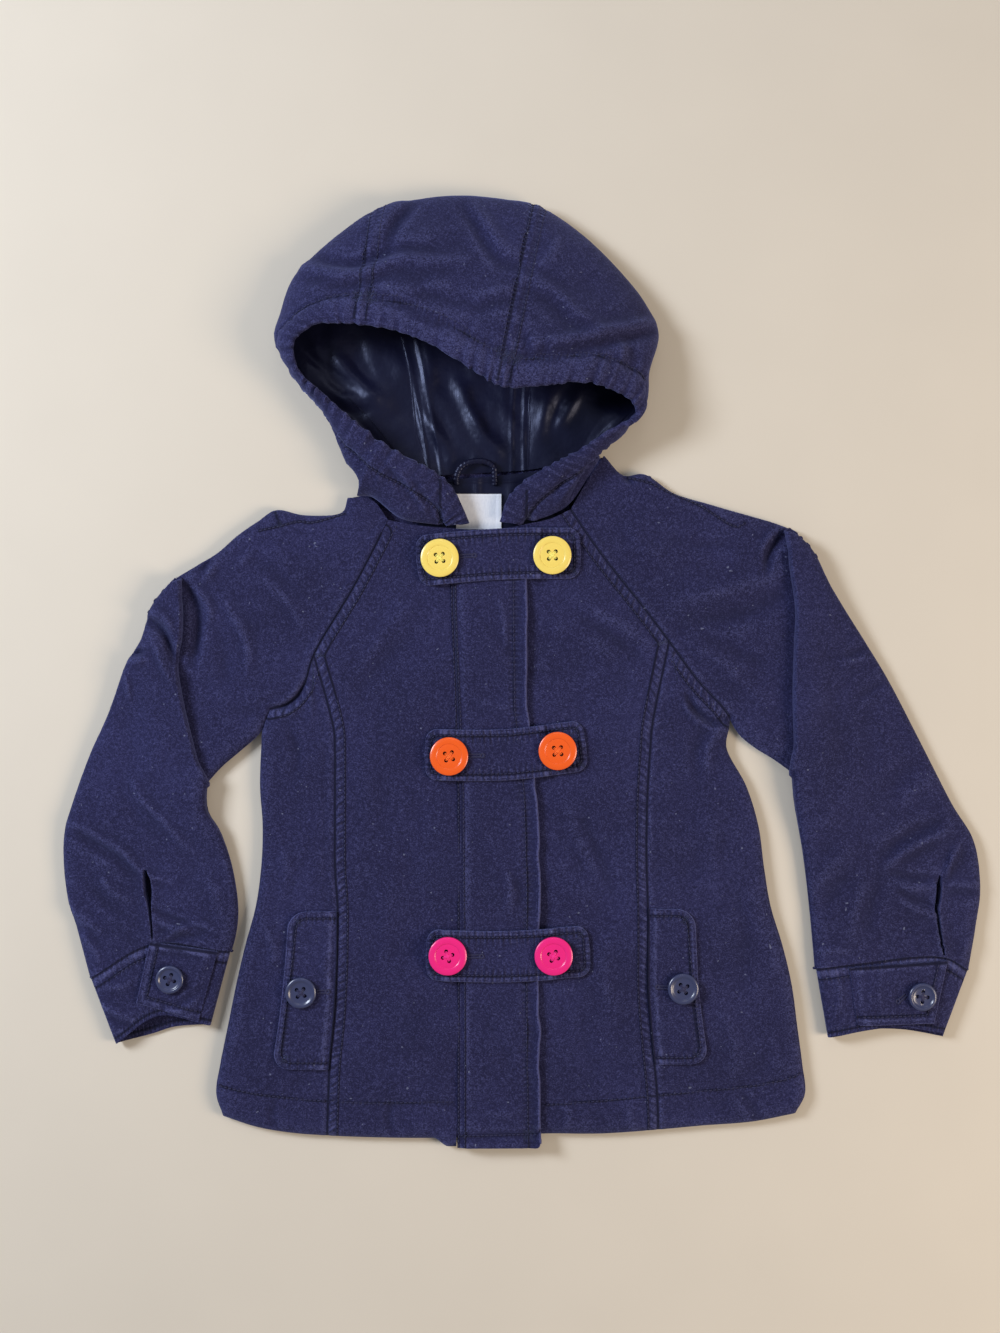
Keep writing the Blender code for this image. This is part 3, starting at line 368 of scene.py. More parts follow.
FLAP_CREASES = (
    (-0.9, 3.0, (-160, -206), (-150, -214), (-138, -220)),
    (0.8, 3.0, (-160, -266), (-148, -272), (-134, -280)),
    (0.8, 3.2, (-128, -210), (-132, -226), (-128, -240)),
    (-0.8, 3.0, (120, -206), (132, -214), (140, -222)),
    (0.9, 3.0, (118, -262), (130, -270), (144, -276)),
    (-0.7, 3.0, (122, -284), (134, -288), (148, -286)),
)
CUFF_CREASES = {
    "right": (
        (1.0, 2.6, (-302, -253), (-290, -259), (-276, -265)),
        (-0.8, 3.0, (-296, -262), (-284, -268), (-274, -272)),
        (0.8, 3.0, (-298, -240), (-284, -240), (-274, -234)),
    ),
    "left": (
        (-1.4, 2.2, (281, -232), (284, -242), (280, -252), (276, -262)),
        (1.2, 2.2, (286, -230), (289, -242), (286, -256), (282, -266)),
        (-1.0, 1.8, (298, -222), (299, -230), (297, -238)),
        (-0.9, 1.8, (303, -222), (304, -230), (303, -238)),
        (0.9, 1.8, (300.5, -222), (301.5, -230), (300, -238)),
        (-0.8, 1.8, (272, -226), (273, -233), (271, -240)),
        (0.8, 3.0, (252, -232), (256, -248), (252, -262)),
    ),
}
CUFF_END_CREASES = (
    (-1.3, 2.0, (-250, -254), (-240, -252), (-230, -246), (-222, -240)),
    (1.1, 2.2, (-248, -259), (-238, -257), (-228, -252)),
    (-0.9, 1.6, (-254, -248), (-253, -254), (-253, -261)),
    (1.0, 2.4, (-260, -210), (-240, -211), (-220, -216)),
    (-0.8, 2.2, (-258, -216), (-240, -217), (-222, -221)),
    (-0.8, 2.0, (298, -240), (297, -250), (297, -258)),
    (0.8, 2.2, (286, -228), (284, -244), (286, -262)),
    (-0.7, 2.4, (275, -230), (274, -246), (276, -262)),
)
# The slits above the cuffs: half width at each point, and where it runs
SLITS = {
    "right": ((0.4, 2.6, 2.9, 1.0, 0.7, 0.5),
              ((-266, -153), (-265, -159), (-264, -169), (-263, -180), (-262, -190), (-261, -203))),
    "left": ((0.4, 1.7, 1.9, 1.0, 0.7, 0.5),
             ((331, -158), (330, -164), (329, -173), (328, -182), (330, -200), (333, -216))),
}
SLIT_DEPTH = 5.5
SLIT_AT = {"right": 0.49, "left": 0.22}  # how far across the sleeve from its outer edge
# The hood's creases lie where the camera sees them
HOOD_CREASES = (
    (-3.0, 3.6, (-28, 345), (-20, 334), (-13, 322), (-4, 309), (4, 302), (14, 301)),
    (1.8, 4.5, (-20, 345), (-8, 330), (2, 314), (12, 308)),
    (2.8, 4.2, (-156, 303), (-135, 297), (-116, 294), (-98, 296), (-86, 301), (-75, 305), (-52, 304),
     (-26, 306)),
    (-2.4, 4.2, (-152, 311), (-132, 305), (-112, 303), (-92, 309), (-76, 314), (-50, 313)),
    (-1.8, 4.0, (-146, 290), (-122, 286), (-100, 289), (-80, 297), (-56, 295)),
    (1.4, 3.4, (-140, 284), (-128, 288), (-114, 290)),
    (2.0, 3.4, (-100, 287), (-86, 281), (-72, 278), (-54, 267), (-40, 263), (-28, 262)),
    (-1.9, 3.4, (-92, 276), (-74, 270), (-58, 260), (-40, 255), (-26, 254)),
    (1.5, 3.0, (-96, 293), (-84, 287), (-74, 284), (-58, 284), (-43, 288)),
    (-1.6, 3.0, (-66, 290), (-52, 280), (-38, 274), (-20, 272)),
    (-2.8, 4.6, (-62, 352), (-70, 342), (-79, 331), (-84, 320), (-86, 310)),
    (1.6, 4.6, (-72, 350), (-84, 338), (-94, 322)),
    (1.7, 3.4, (-17, 277), (-4, 281), (10, 284), (16, 290)),
    (-1.8, 3.6, (-20, 268), (-4, 272), (8, 274)),
    (2.4, 4.2, (17, 292), (30, 287), (47, 276), (56, 266), (66, 260), (76, 254)),
    (-2.2, 4.6, (24, 282), (38, 274), (50, 262), (62, 252)),
    (1.3, 5, (28, 300), (38, 308), (42, 322)),
    (3.4, 4.6, (14, 241), (26, 242), (45, 244), (69, 249), (92, 254), (118, 259)),
    (-3.2, 4.0, (20, 235), (45, 237), (75, 242), (98, 247), (116, 251)),
    (-3.4, 2.4, (17, 249), (19, 242), (21, 235)),
    (-2.4, 2.2, (33, 245), (33, 239), (35, 233)),
    (1.6, 4, (88, 222), (92, 234), (88, 246)),
    (-1.4, 4, (98, 220), (100, 234), (98, 246)),
    (1.2, 9, (-40, 332), (-60, 322), (-72, 318)),
    (-1.0, 10, (60, 300), (70, 284), (84, 270)),
    (-2.2, 3.2, (-98, 168), (-88, 154), (-76, 138), (-62, 120)),
    (1.8, 3.2, (-88, 166), (-76, 150), (-66, 134), (-54, 116)),
    (-1.6, 2.6, (-78, 154), (-66, 140), (-56, 124), (-50, 112)),
    (-3.2, 2.8, (77, 160), (70, 150), (62, 138), (54, 126)),
    (1.6, 2.8, (66, 156), (58, 144), (50, 132), (44, 122)),
    (-1.4, 2.4, (54, 150), (46, 138), (38, 126)),
    (-1.4, 3, (-112, 172), (-108, 156), (-98, 142)),
)
# Of the hood's lining, in the same way
LINING_CREASES = (
    (4.5, 5.5, (-34, 214), (-24, 196), (-14, 176), (-4, 164), (8, 156)),
    (-2.0, 4.5, (-26, 216), (-14, 194), (-4, 176), (8, 166)),
    (2.6, 4.0, (-58, 190), (-50, 178), (-42, 166), (-36, 156)),
    (-1.6, 4.0, (-50, 196), (-42, 182), (-34, 170)),
    (2.2, 5.0, (-20, 160), (-16, 152), (-8, 148)),
    (3.0, 6.0, (-120, 262), (-124, 240), (-116, 222), (-98, 206), (-84, 196)),
    (-2.4, 5.0, (-106, 250), (-106, 230), (-94, 214)),
    (2.6, 4.5, (-134, 214), (-121, 203), (-104, 200), (-86, 205)),
    (-2.0, 4.0, (-128, 194), (-112, 190), (-96, 192)),
    (2.0, 4.0, (-140, 246), (-134, 234), (-136, 222)),
    (-2.0, 3.0, (-146, 236), (-138, 228), (-128, 224)),
    (2.4, 5.0, (40, 212), (34, 192), (30, 172)),
    (2.0, 4.0, (60, 206), (52, 192), (44, 182)),
    (-1.6, 4.0, (52, 210), (44, 196), (38, 180)),
    (1.8, 5.0, (-60, 240), (-52, 222), (-56, 204)),
    (1.6, 5.0, (2, 206), (6, 190), (14, 174)),
)
LINING_SEAMS = (((-74, 252), (-67, 219), (-63, 174), (-54, 150)), ((22, 214), (22, 184), (21, 150)))


# Lines: arrays of points, joined by short straight steps


def smooth(points, per_span=10):
    """A smooth line through the points, with per_span steps from each to the next."""
    points = np.asarray(points, float)
    spans = np.sqrt(np.linalg.norm(np.diff(points, axis=0), axis=1))[:, None]
    slopes = np.diff(points, axis=0) / spans
    inner = (slopes[:-1] * spans[1:] + slopes[1:] * spans[:-1]) / (spans[1:] + spans[:-1])
    tangents = np.vstack([slopes[:1], inner, slopes[-1:]])
    t = (np.arange(per_span) / per_span)[:, None]
    line = []
    for start, end, leave, arrive, span in zip(points, points[1:], tangents, tangents[1:], spans):
        line.append((1 + 2 * t) * (1 - t) ** 2 * start + t * (1 - t) ** 2 * span * leave
                    + t * t * (3 - 2 * t) * end + t * t * (t - 1) * span * arrive)
    return np.vstack(line + [points[-1:]])


def run_length(line):
    steps = np.linalg.norm(np.diff(line, axis=0), axis=1)
    return np.concatenate([[0], np.cumsum(steps)])


def along(line, fractions):
    """Points of the line at fractions of its length."""
    line = np.asarray(line, float)
    run = run_length(line)
    return np.stack([np.interp(np.asarray(fractions) * run[-1], run, column) for column in line.T], axis=-1)


def between(line, start, end):
    """The stretch of the line between its points nearest to start and end, in that direction."""
    first, last = (int(np.argmin(np.linalg.norm(line - point, axis=1))) for point in (start, end))
    return line[first : last + 1] if first <= last else line[last : first + 1][::-1]


def joined(*lines):
    return np.vstack([lines[0]] + [line[1:] for line in lines[1:]])


def unit(vectors):
    """The same directions, each one long."""
    return vectors / np.maximum(np.linalg.norm(vectors, axis=-1, keepdims=True), 1e-9)


def leftward(headings):
    """The directions a quarter turn to the left of these x, y headings."""
    return np.stack([-headings[:, 1], headings[:, 0]], axis=1)


def sideways(line, distance):
    """The line moved sideways, to its left where the distance is above 0."""
    return line + distance * leftward(unit(np.gradient(line, axis=0)))


def nearest_on(line, points):
    """For each point, how far it is from the line, and the run along the line to the nearest place."""
    line = np.asarray(line, float)
    starts = run_length(line)
    away = np.full(points.shape[:-1], 1e9)
    run = np.zeros(points.shape[:-1])
    for index, (a, b) in enumerate(zip(line[:-1], line[1:])):
        step = b - a
        share = np.clip(((points - a) @ step) / max(step @ step, 1e-9), 0, 1)
        here = np.linalg.norm(points - a - share[..., None] * step, axis=-1)
        closer = here < away
        away = np.where(closer, here, away)
        run = np.where(closer, starts[index] + share * math.sqrt(step @ step), run)
    return away, run


def nearest_of(lines, points):
    """The same for the nearest of several lines."""
    away, run = np.full(points.shape[:-1], FAR), np.zeros(points.shape[:-1])
    for index, line in enumerate(lines):
        here, where = nearest_on(line, points)
        closer = here < away
        away, run = np.where(closer, here, away), np.where(closer, where + 137 * index, run)
    return away, run


def body_line(column):
    return [(row[column], row[0]) for row in BODY]


HEM_LINE = smooth(HEM)
NECK_LINE = smooth(NECKLINE)
RAGLAN_LINE = {side: smooth(points) for side, points in RAGLAN.items()}
SIDE_LINE = {
    "right": smooth([RAGLAN["right"][0]] + body_line(1) + [HEM[0]]),
    "left": smooth([RAGLAN["left"][0]] + body_line(4) + [HEM[-1]]),
}
PRINCESS_LINE = {
    "right": smooth([PRINCESS_TOP["right"]] + body_line(2) + [(-130, -352.5)]),
    "left": smooth([PRINCESS_TOP["left"]] + body_line(3) + [(119, -348)]),
}
STRAIGHT_EDGES = ("back_neck", "cuff_end")
SLEEVE_LINE = {
    side: {name: np.array(points, float) if name in STRAIGHT_EDGES else smooth(points, 6)
           for name, points in edges.items()}
    for side, edges in SLEEVE.items()
}
OUTER_LINES = [HEM_LINE, *SIDE_LINE.values()] + [
    lines[name][::2] for lines in SLEEVE_LINE.values() for name in ("shoulder", "outer", "under", "inner")
]
SEAM_LINES = [line[::3] for line in (*RAGLAN_LINE.values(), *PRINCESS_LINE.values())]
# Single rows of stitching on the fronts and sleeves
HEM_STITCH = {
    "right": ((-211, -315), (-182, -321), (-150, -325), (-90, -328), (-56, -327), (-35, -327)),
    "left": ((34, -329), (77, -326), (105, -323), (151, -319), (190, -315), (215, -310), (225, -306)),
}
SHOULDER_STITCH = {
    "right": ((-181, 102), (-167, 105), (-151, 109), (-142, 108), (-117, 115)),
    "left": ((96, 142), (112, 138), (127, 131), (150, 121), (161, 114), (178, 105), (184, 108)),
}
FRONT_STITCH = [smooth(points, 4) for points in (*HEM_STITCH.values(), *SHOULDER_STITCH.values())]
FRONT_STITCH.append(np.array([(-169, 116), (-166, 107)], float))


# Heights and relief, for arrays of x, y


def relief(points, creases):
    """Ridges and troughs along their lines, each fading out at its ends."""
    height = np.zeros(points.shape[:-1])
    for depth, width, *line in creases:
        line = smooth(line, 4) if len(line) > 2 else np.asarray(line, float)
        low, high = line.min(axis=0) - 3 * width, line.max(axis=0) + 3 * width
        inside = ((points > low) & (points < high)).all(axis=-1)
        if not inside.any():
            continue
        away, run = nearest_on(line, points[inside])
        share = run / run_length(line)[-1]
        fade = np.clip(np.sin(np.pi * (0.06 + 0.88 * share)), 0, 1) ** 0.7
        height[inside] += depth * fade * hill(away, width)
    return height


def lattice_noise(points, size, seed):
    """Smooth noise from -1 to 1 whose hills are about size apart."""
    table = np.random.default_rng(seed).uniform(-1, 1, (64, 64))
    cell = np.floor(points / size).astype(int)
    t = points / size - cell
    t = t * t * (3 - 2 * t)
    x, y = cell[..., 0] % 64, cell[..., 1] % 64
    x1, y1 = (x + 1) % 64, (y + 1) % 64
    low = table[x, y] * (1 - t[..., 0]) + table[x1, y] * t[..., 0]
    high = table[x, y1] * (1 - t[..., 0]) + table[x1, y1] * t[..., 0]
    return low * (1 - t[..., 1]) + high * t[..., 1]


def ease(share):
    """From 0 to 1 with soft ends."""
    share = np.clip(share, 0, 1)
    return share * share * (3 - 2 * share)


def hill(distance, width, power=2):
    """1 where the distance is 0, and next to nothing beyond about twice the width."""
    return np.exp(-((distance / width) ** power))


def soft_waves(points):
    """The slight unevenness of lined cloth that lies loose."""
    turned = points @ np.array([[0.8, 0.6], [-0.6, 0.8]])
    return (0.55 * lattice_noise(turned, 34, 3) + 0.30 * lattice_noise(points, 15, 5)
            + 0.10 * lattice_noise(turned, 6, 8))


def front_top(points):
    """The top of the fronts: rounded at the outer edges and a little lofted between them."""
    away, _ = nearest_of(OUTER_LINES, points)
    near = np.clip(away / RIM_ROUND, 0, 1)
    rim = RIM_RISE * np.sqrt(1 - (1 - near) ** 2)
    return RIM_TOP + rim + LOFT * (1 - np.exp(-away / LOFT_REACH))


def crease_share():
    return bpy.context.scene.coat_sizes.creases


def sewn_dip(points):
    """How far the cloth is pulled down at the seams, the topstitching and the single rows of stitching."""
    away, _ = nearest_of(SEAM_LINES, points)
    single, _ = nearest_of(FRONT_STITCH, points)
    dip = 1.5 * hill(away, 1.6) + 0.5 * hill(away - TOPSTITCH, 2.0) + 0.8 * hill(single, 2.0)
    return bpy.context.scene.coat_sizes.seam_depth / MM * dip


def cloth_top(points):
    """The fronts and upper sleeves with their creases and seams."""
    away, _ = nearest_of(OUTER_LINES, points)
    waves = relief(points, BODY_CREASES) * ease(away / 5 + 0.25) + ease(away / 12) * soft_waves(points)
    return np.maximum(front_top(points) + CREASE_GAIN * crease_share() * waves - sewn_dip(points), LEAST_HIGH)


def slit_share(side, points):
    """1 inside the slit above the cuff, falling to 0 at its edges."""
    half, line = SLITS[side]
    away, run = nearest_on(line, points)
    return 1 - ease((away / np.interp(run, run_length(np.array(line, float)), half) - 0.55) / 0.6)


def forearm_top(side, points):
    """The lower sleeve, which lies over the upper one at the elbow."""
    away, _ = nearest_of([SLEEVE_LINE[side]["fold"]], points)
    edge, _ = nearest_of(OUTER_LINES, points)
    high = front_top(points) + FOLD_RISE * hill(away, FOLD_REACH)
    waves = 1.8 * ease(edge / 10) * soft_waves(points + 400)
    high = high + crease_share() * (CREASE_GAIN * relief(points, FOREARM_CREASES[side]) + waves)
    beside, run = nearest_on(SLITS[side][1], points)
    lips = 1.5 * hill(beside, 6) * ease(run / 6)
    high = high + lips - (SLIT_DEPTH + lips) * slit_share(side, points)
    return np.maximum(high, LEAST_FOREARM)


def placket_edges(y):
    levels, left, right = np.array(PLACKET_EDGES, float)[::-1].T
    return np.interp(y, levels, left), np.interp(y, levels, right)


def clear_of_tabs(y):
    """0 under a tab and 1 well away from the three of them."""
    clear = 1.0
    for level in TAB_LEVELS:
        clear = clear * (1 - hill(y - level, 28, 4))
    return clear


PLACKET_STITCH = 9.0  # in from its free edge
PLACKET_ROWS = (0.8, 5.6)  # the two rows of stitches, in from its sewn edge
PLACKET_HEM = -352.0  # where its hem is stitched


def placket_top(points):
    """The placket rises from the right front's sewn line to its free edge, which lies on the left front."""
    left, right = placket_edges(points[..., 1])
    from_left, from_right = points[..., 0] - left, right - points[..., 0]
    rise = (GAP + PLACKET) * (0.3 + 0.7 * ease(from_left / 9))
    lifted = 0.9 + PLACKET_LIFT * clear_of_tabs(points[..., 1])
    roll = lifted * hill(from_right, 3.2) - 0.8 * hill(from_right - PLACKET_STITCH, 2.4)
    grooves = hill(from_left, 1.5) + 0.7 * hill(from_left - 4.5, 1.5)
    bottom = hill(points[..., 1] - PLACKET_HEM, 2.0)
    waves = crease_share() * (1.3 * relief(points, PLACKET_CREASES) + 0.9 * soft_waves(points + 900))
    return front_top(points) + rise + roll - 0.8 * grooves - 0.6 * bottom + waves


def placket_share(points):
    """1 over the placket and just beside it, falling to 0 away from it."""
    left, right = placket_edges(points[..., 1])
    beside = np.maximum(left - points[..., 0], points[..., 0] - right)
    return 1 - ease((beside - TAB_SLOPE[0]) / (TAB_SLOPE[1] - TAB_SLOPE[0]))


def tab_low(points):
    return front_top(points) + GAP + (PLACKET + GAP) * placket_share(points)


# Grids of points, and the closed walls made from them

# Ridges and edges are painted lighter, partly for the nap's wear and partly as a painted highlight; hollows
# get painted shade.
WORN_LIT_PROUD = 0.5  # a place this far above what is round it is painted lightest, as the nap's wear and a painted highlight
WORN_LIT_REACH = 6.5  # how far in from its border a piece's edge goes
WORN_LIT_INSIDE = 0.22  # how far ridges are painted light inside that, as wear and a painted highlight


def from_border(points):
    """How far each point of a grid is from the grid's nearest border, along the grid."""
    least = np.full(points.shape[:2], FAR)
    for axis in (0, 1):
        run = np.cumsum(np.linalg.norm(np.diff(points, axis=axis), axis=-1), axis=axis)
        run = np.concatenate([0 * np.take(run, [0], axis), run], axis=axis)
        least = np.minimum(least, np.minimum(run, np.take(run, [-1], axis) - run))
    return least


def spread(length, step, fine=(0, 0.5, 1.2, 2.2, 3.6), extra=()):
    """Fractions of a length about a step apart, closer together at both ends, and the extra fractions."""
    ends = np.array([distance for distance in fine if distance < length / 3]) / length
    middle = np.linspace(ends[-1], 1 - ends[-1], max(3, int(length * (1 - 2 * ends[-1]) / step) + 1))
    return np.unique(np.round(np.concatenate([ends, middle, 1 - ends, extra]), 6))


def patch(bottom, top, left, right, across, up):
    """A grid of x, y points over a four-sided outline."""
    u = np.asarray(across)[None, :, None]
    v = np.asarray(up)[:, None, None]
    low, high = along(bottom, across)[None], along(top, across)[None]
    near, far = along(left, up)[:, None], along(right, up)[:, None]
    corners = ((1 - u) * (1 - v) * low[:, :1] + u * (1 - v) * low[:, -1:]
               + (1 - u) * v * high[:, :1] + u * v * high[:, -1:])
    return (1 - v) * low + v * high + (1 - u) * near + u * far - corners


def with_marks(points, seam=None, band=0.0, stitch=None, reach=0.0):
    """The grid with what the cloth's material reads: how far off the seam is and where along it, its band of
    puckers, the same of the nearest single row of stitching, and how far ribs reach from that."""
    plain = np.zeros(points.shape[:2])
    seam = seam or (plain + FAR, plain)
    stitch = stitch or (plain + FAR, plain)
    marks = (*seam, plain + band, *stitch, plain + reach)
    return np.dstack([points, *marks])


def sewn_grid(plan, high, stitch=None, reach=0.0):
    """The grid with its heights and, where it has any, the marks of its rows of stitching."""
    return with_marks(np.dstack([plan, high]), stitch=stitch, reach=reach)


def turned(grid, edge):
    """The grid turned so that this edge is its last row. Turning it again turns it back."""
    if edge == "start":
        return grid[::-1]
    if edge == "left":
        return np.swapaxes(grid, 0, 1)[::-1]
    if edge == "right":
        return np.swapaxes(grid, 0, 1)
    return grid


def turned_back(grid, edge):
    if edge == "left":
        return np.swapaxes(grid[::-1], 0, 1)
    return turned(grid, edge)


def rolled(grid, edge, low, bulge=RIM_BULGE, tuck=0.0, steps=RIM_STEPS):
    """The grid with an edge that rolls over and down to a height, and on underneath by the tuck."""
    grid = turned(grid, edge)
    last, inside = grid[-1], grid[-4]
    out = last[:, :2] - inside[:, :2]
    out /= np.maximum(np.linalg.norm(out, axis=1, keepdims=True), 1e-3)
    low = np.minimum(np.broadcast_to(low, last[:, 2].shape), last[:, 2] - 0.05)
    middle, half = (last[:, 2] + low) / 2, (last[:, 2] - low) / 2
    swell = np.minimum(bulge, 1.2 * half)[:, None]
    rows = []
    for turn in np.linspace(0, np.pi, steps + 1)[1:]:
        row = last.copy()
        row[:, :2] += out * swell * math.sin(turn)
        row[:, 2] = middle + half * math.cos(turn)
        rows.append(row)
    if tuck:
        for share in (0.5, 1.0):
            row = rows[-1].copy() if share == 0.5 else rows[steps - 1].copy()
            row[:, :2] -= out * tuck * share
            rows.append(row)
    return turned_back(np.concatenate([grid, np.array(rows)]), edge)


def grid_normals(points):
    """A unit normal at each point of a grid."""
    return unit(np.cross(np.gradient(points, axis=1), np.gradient(points, axis=0)))


def softened(values, passes):
    """The grid of values, each one evened out with its neighbours along both axes."""
    for _ in range(passes):
        for axis in (0, 1):
            before, after = np.roll(values, 1, axis), np.roll(values, -1, axis)
            edge = [slice(None)] * values.ndim
            edge[axis] = 0
            before[tuple(edge)] = values[tuple(edge)]
            edge[axis] = -1
            after[tuple(edge)] = values[tuple(edge)]
            values = (before + 2 * values + after) / 4
    return values


def cloth_wall(name, grid, thick, finish, nodes, outward=(0, 0, 1), wear_and_highlight=0.3):
    """A closed wall of cloth from a grid and its marks, with its outer side the way that outward points. The
    last argument sets how far its ridges and edges are painted lighter, as the nap's wear and a painted
    highlight."""
    points = grid[..., :3]
    normals = grid_normals(points)
    flipped = (normals * np.asarray(outward)).sum() < 0
    normals = -normals if flipped else normals
    # How far each point stands above its neighbours: ridges and edges are painted lighter, as wear and a
    # painted highlight, and hollows are painted darker, a painted shade.
    proud = ((points - softened(points, 5)) * normals).sum(axis=-1)
    worn = np.clip(proud / WORN_LIT_PROUD, -1, 1)
    at_edge = np.where(from_border(points) < WORN_LIT_REACH, wear_and_highlight, min(wear_and_highlight, WORN_LIT_INSIDE))
    worn = np.where(worn > 0, at_edge * np.maximum(worn, 0) ** 1.3, worn)
    inner = points - normals * thick
    rows, columns = points.shape[:2]
    count = rows * columns
    index = np.arange(count).reshape(rows, columns)
    a, b, c, d = index[:-1, :-1], index[:-1, 1:], index[1:, 1:], index[1:, :-1]
    skin = np.stack([a, b, c, d], axis=-1).reshape(-1, 4)
    ring = np.concatenate([index[0, :-1], index[:-1, -1], index[-1, :0:-1], index[:0:-1, 0]])
    after = np.roll(ring, -1)
    rim = np.stack([after, ring, ring + count, after + count], axis=-1)
    faces = np.vstack([skin, skin[:, ::-1] + count, rim])
    both = np.vstack([points.reshape(-1, 3), inner.reshape(-1, 3)])
    marks = {
        "seam": np.tile(grid[..., 3:6].reshape(-1, 3), (2, 1)),
        "stitch": np.tile(grid[..., 6:9].reshape(-1, 3), (2, 1)),
        "worn": np.concatenate([worn.ravel(), np.zeros(count)]),
    }
    return new_piece(f"{name}_cloth", both, faces if flipped else faces[:, ::-1], finish, nodes, marks)


def cotton_wall(name, grid, wear_and_highlight=0.3, nodes=None, outward=(0, 0, 1), thick=SHELL_WALL):
    """A wall of the brushed cotton, in place of the node of its own name or of those given."""
    return cloth_wall(name, grid, thick, brushed_cotton(), nodes or [name], outward, wear_and_highlight)


def satin_wall(name, grid, outward=(0, 0, 1)):
    return cloth_wall(name, grid, SATIN_WALL, lining_satin(), [name], outward)


def new_piece(name, points, faces, finish, nodes, marks=None):
    """A mesh object of the coat, from points in millimetres, that stands for CAD nodes."""
    data = bpy.data.meshes.new(name)
    placed = (np.asarray(points, float) + MIDDLE) * MM
    faces = np.asarray(faces)
    data.vertices.add(len(placed))
    data.vertices.foreach_set("co", placed.astype(np.float32).ravel())
    data.loops.add(faces.size)
    data.loops.foreach_set("vertex_index", faces.astype(np.int32).ravel())
    data.polygons.add(len(faces))
    data.polygons.foreach_set("loop_start", np.arange(0, faces.size, faces.shape[1], dtype=np.int32))
    for mark, values in (marks or {}).items():
        kind, field = ("FLOAT_VECTOR", "vector") if values.ndim == 2 else ("FLOAT", "value")
        data.attributes.new(mark, kind, "POINT").data.foreach_set(field, values.astype(np.float32).ravel())
    data.update(calc_edges=True)
    data.validate()
    data.shade_smooth()
    data.set_sharp_from_angle(angle=math.radians(SHARP_ANGLE))
    data.materials.append(finish)
    made = bpy.data.objects.new(name, data)
    bpy.context.scene.collection.objects.link(made)
    return owned(made, nodes)


def owned(made, nodes):
    """Puts a finished piece on the coat's body, in place of the CAD nodes that it shows."""
    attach(made, BODY_NAME)
    if nodes:
        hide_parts(*nodes)
    return made


# The coat's sheets


def seam_marks(points, banded):
    """How far the nearest seam is, where along it, and 1 where this piece has the band of topstitching."""
    away, run = nearest_of(SEAM_LINES, points)
    raglan, _ = nearest_of([line[::3] for line in RAGLAN_LINE.values()], points)
    band = np.where(banded == "all", 1.0, (raglan <= away + 0.01) * 1.0) if banded else np.zeros(away.shape)
    return away, run, band


def front_sheet(name, plan, banded, rims, drop=0.0):
    """A front panel with its rolled edges. The drop is how far its hem falls beside the placket."""
    points = np.dstack([plan, cloth_top(plan)])
    beside, below = plan[..., 0] - HEM_DROP_BESIDE, HEM_DROP_FROM - plan[..., 1]
    points[..., 1] -= drop * ease(beside / 11) * ease(below / 36)
    away, run, band = seam_marks(plan, banded)
    grid = with_marks(points, (away, run), band, nearest_of(FRONT_STITCH, plan), 2.5)
    for edge, low, bulge in rims:
        grid = rolled(grid, edge, low, bulge)
    return cotton_wall(name, grid)


def make_fronts(step):
    """The four front panels."""
    made = []
    for side, corner in (("right", 0), ("left", -1)):
        princess, raglan = PRINCESS_LINE[side][::-1], RAGLAN_LINE[side]
        start = np.array(PRINCESS_TOP[side], float)
        plan = patch(between(HEM_LINE, HEM[corner], princess[0]), between(raglan, raglan[0], start),
                     SIDE_LINE[side][::-1], princess, spread(80, step), spread(340, step))
        rims = [("left", SEAM_HIGH, RIM_BULGE), ("start", SEAM_HIGH, RIM_BULGE)]
        made.append(front_sheet(f"{side}_side_front", plan, "raglan", rims))
    closing = placket_lines()[0]
    for end, line in ((0, HEM_LINE), (-1, NECK_LINE)):
        closing[end] = line[np.abs(line[:, 0] - closing[end, 0]).argmin()]
    for side in OUTWARD:
        outside = joined(PRINCESS_LINE[side][::-1],
                         between(RAGLAN_LINE[side], PRINCESS_TOP[side], RAGLAN_LINE[side][-1]))
        plan = patch(between(HEM_LINE, outside[0], closing[0]), between(NECK_LINE, outside[-1], closing[-1]),
                     outside, closing, spread(110, step), spread(470, step))
        made.append(front_sheet(f"{side}_front", plan, "all", [("start", SEAM_HIGH, RIM_BULGE)],
                                HEM_DROP if side == "right" else 0.0))
    return made


def underside(plan):
    """The coat's back, made upside down: flat, and rounded off towards the seam at its outer edges."""
    away, _ = nearest_of(OUTER_LINES, plan)
    near = np.clip(away / BACK_ROUND[0], 0, 1)
    return -BACK_ROUND[1] * (1 - np.sqrt(1 - (1 - near) ** 2)) - BACK_CLEAR


def back_sheet(name, plans, edges):
    """A sheet that the coat lies on, from one or two stretches of it and the edges that each rolls up."""
    pieces = []
    for plan, rims in zip(plans, edges):
        grid = with_marks(np.dstack([plan, underside(plan)]), nearest_of(SEAM_LINES, plan))
        for edge in rims:
            grid = rolled(grid, edge, -SEAM_HIGH + 0.1)
        grid[..., 2] *= -1
        pieces.append(cotton_wall(name, grid, outward=(0, 0, -1)))
    if len(pieces) > 1:
        chosen_only(pieces)
        bpy.ops.object.join()
    return pieces[0]


def chosen_only(objects):
    """Selects these objects and no others, the first of them active."""
    for other in bpy.context.view_layer.objects:
        other.select_set(other in objects)
    bpy.context.view_layer.objects.active = objects[0]


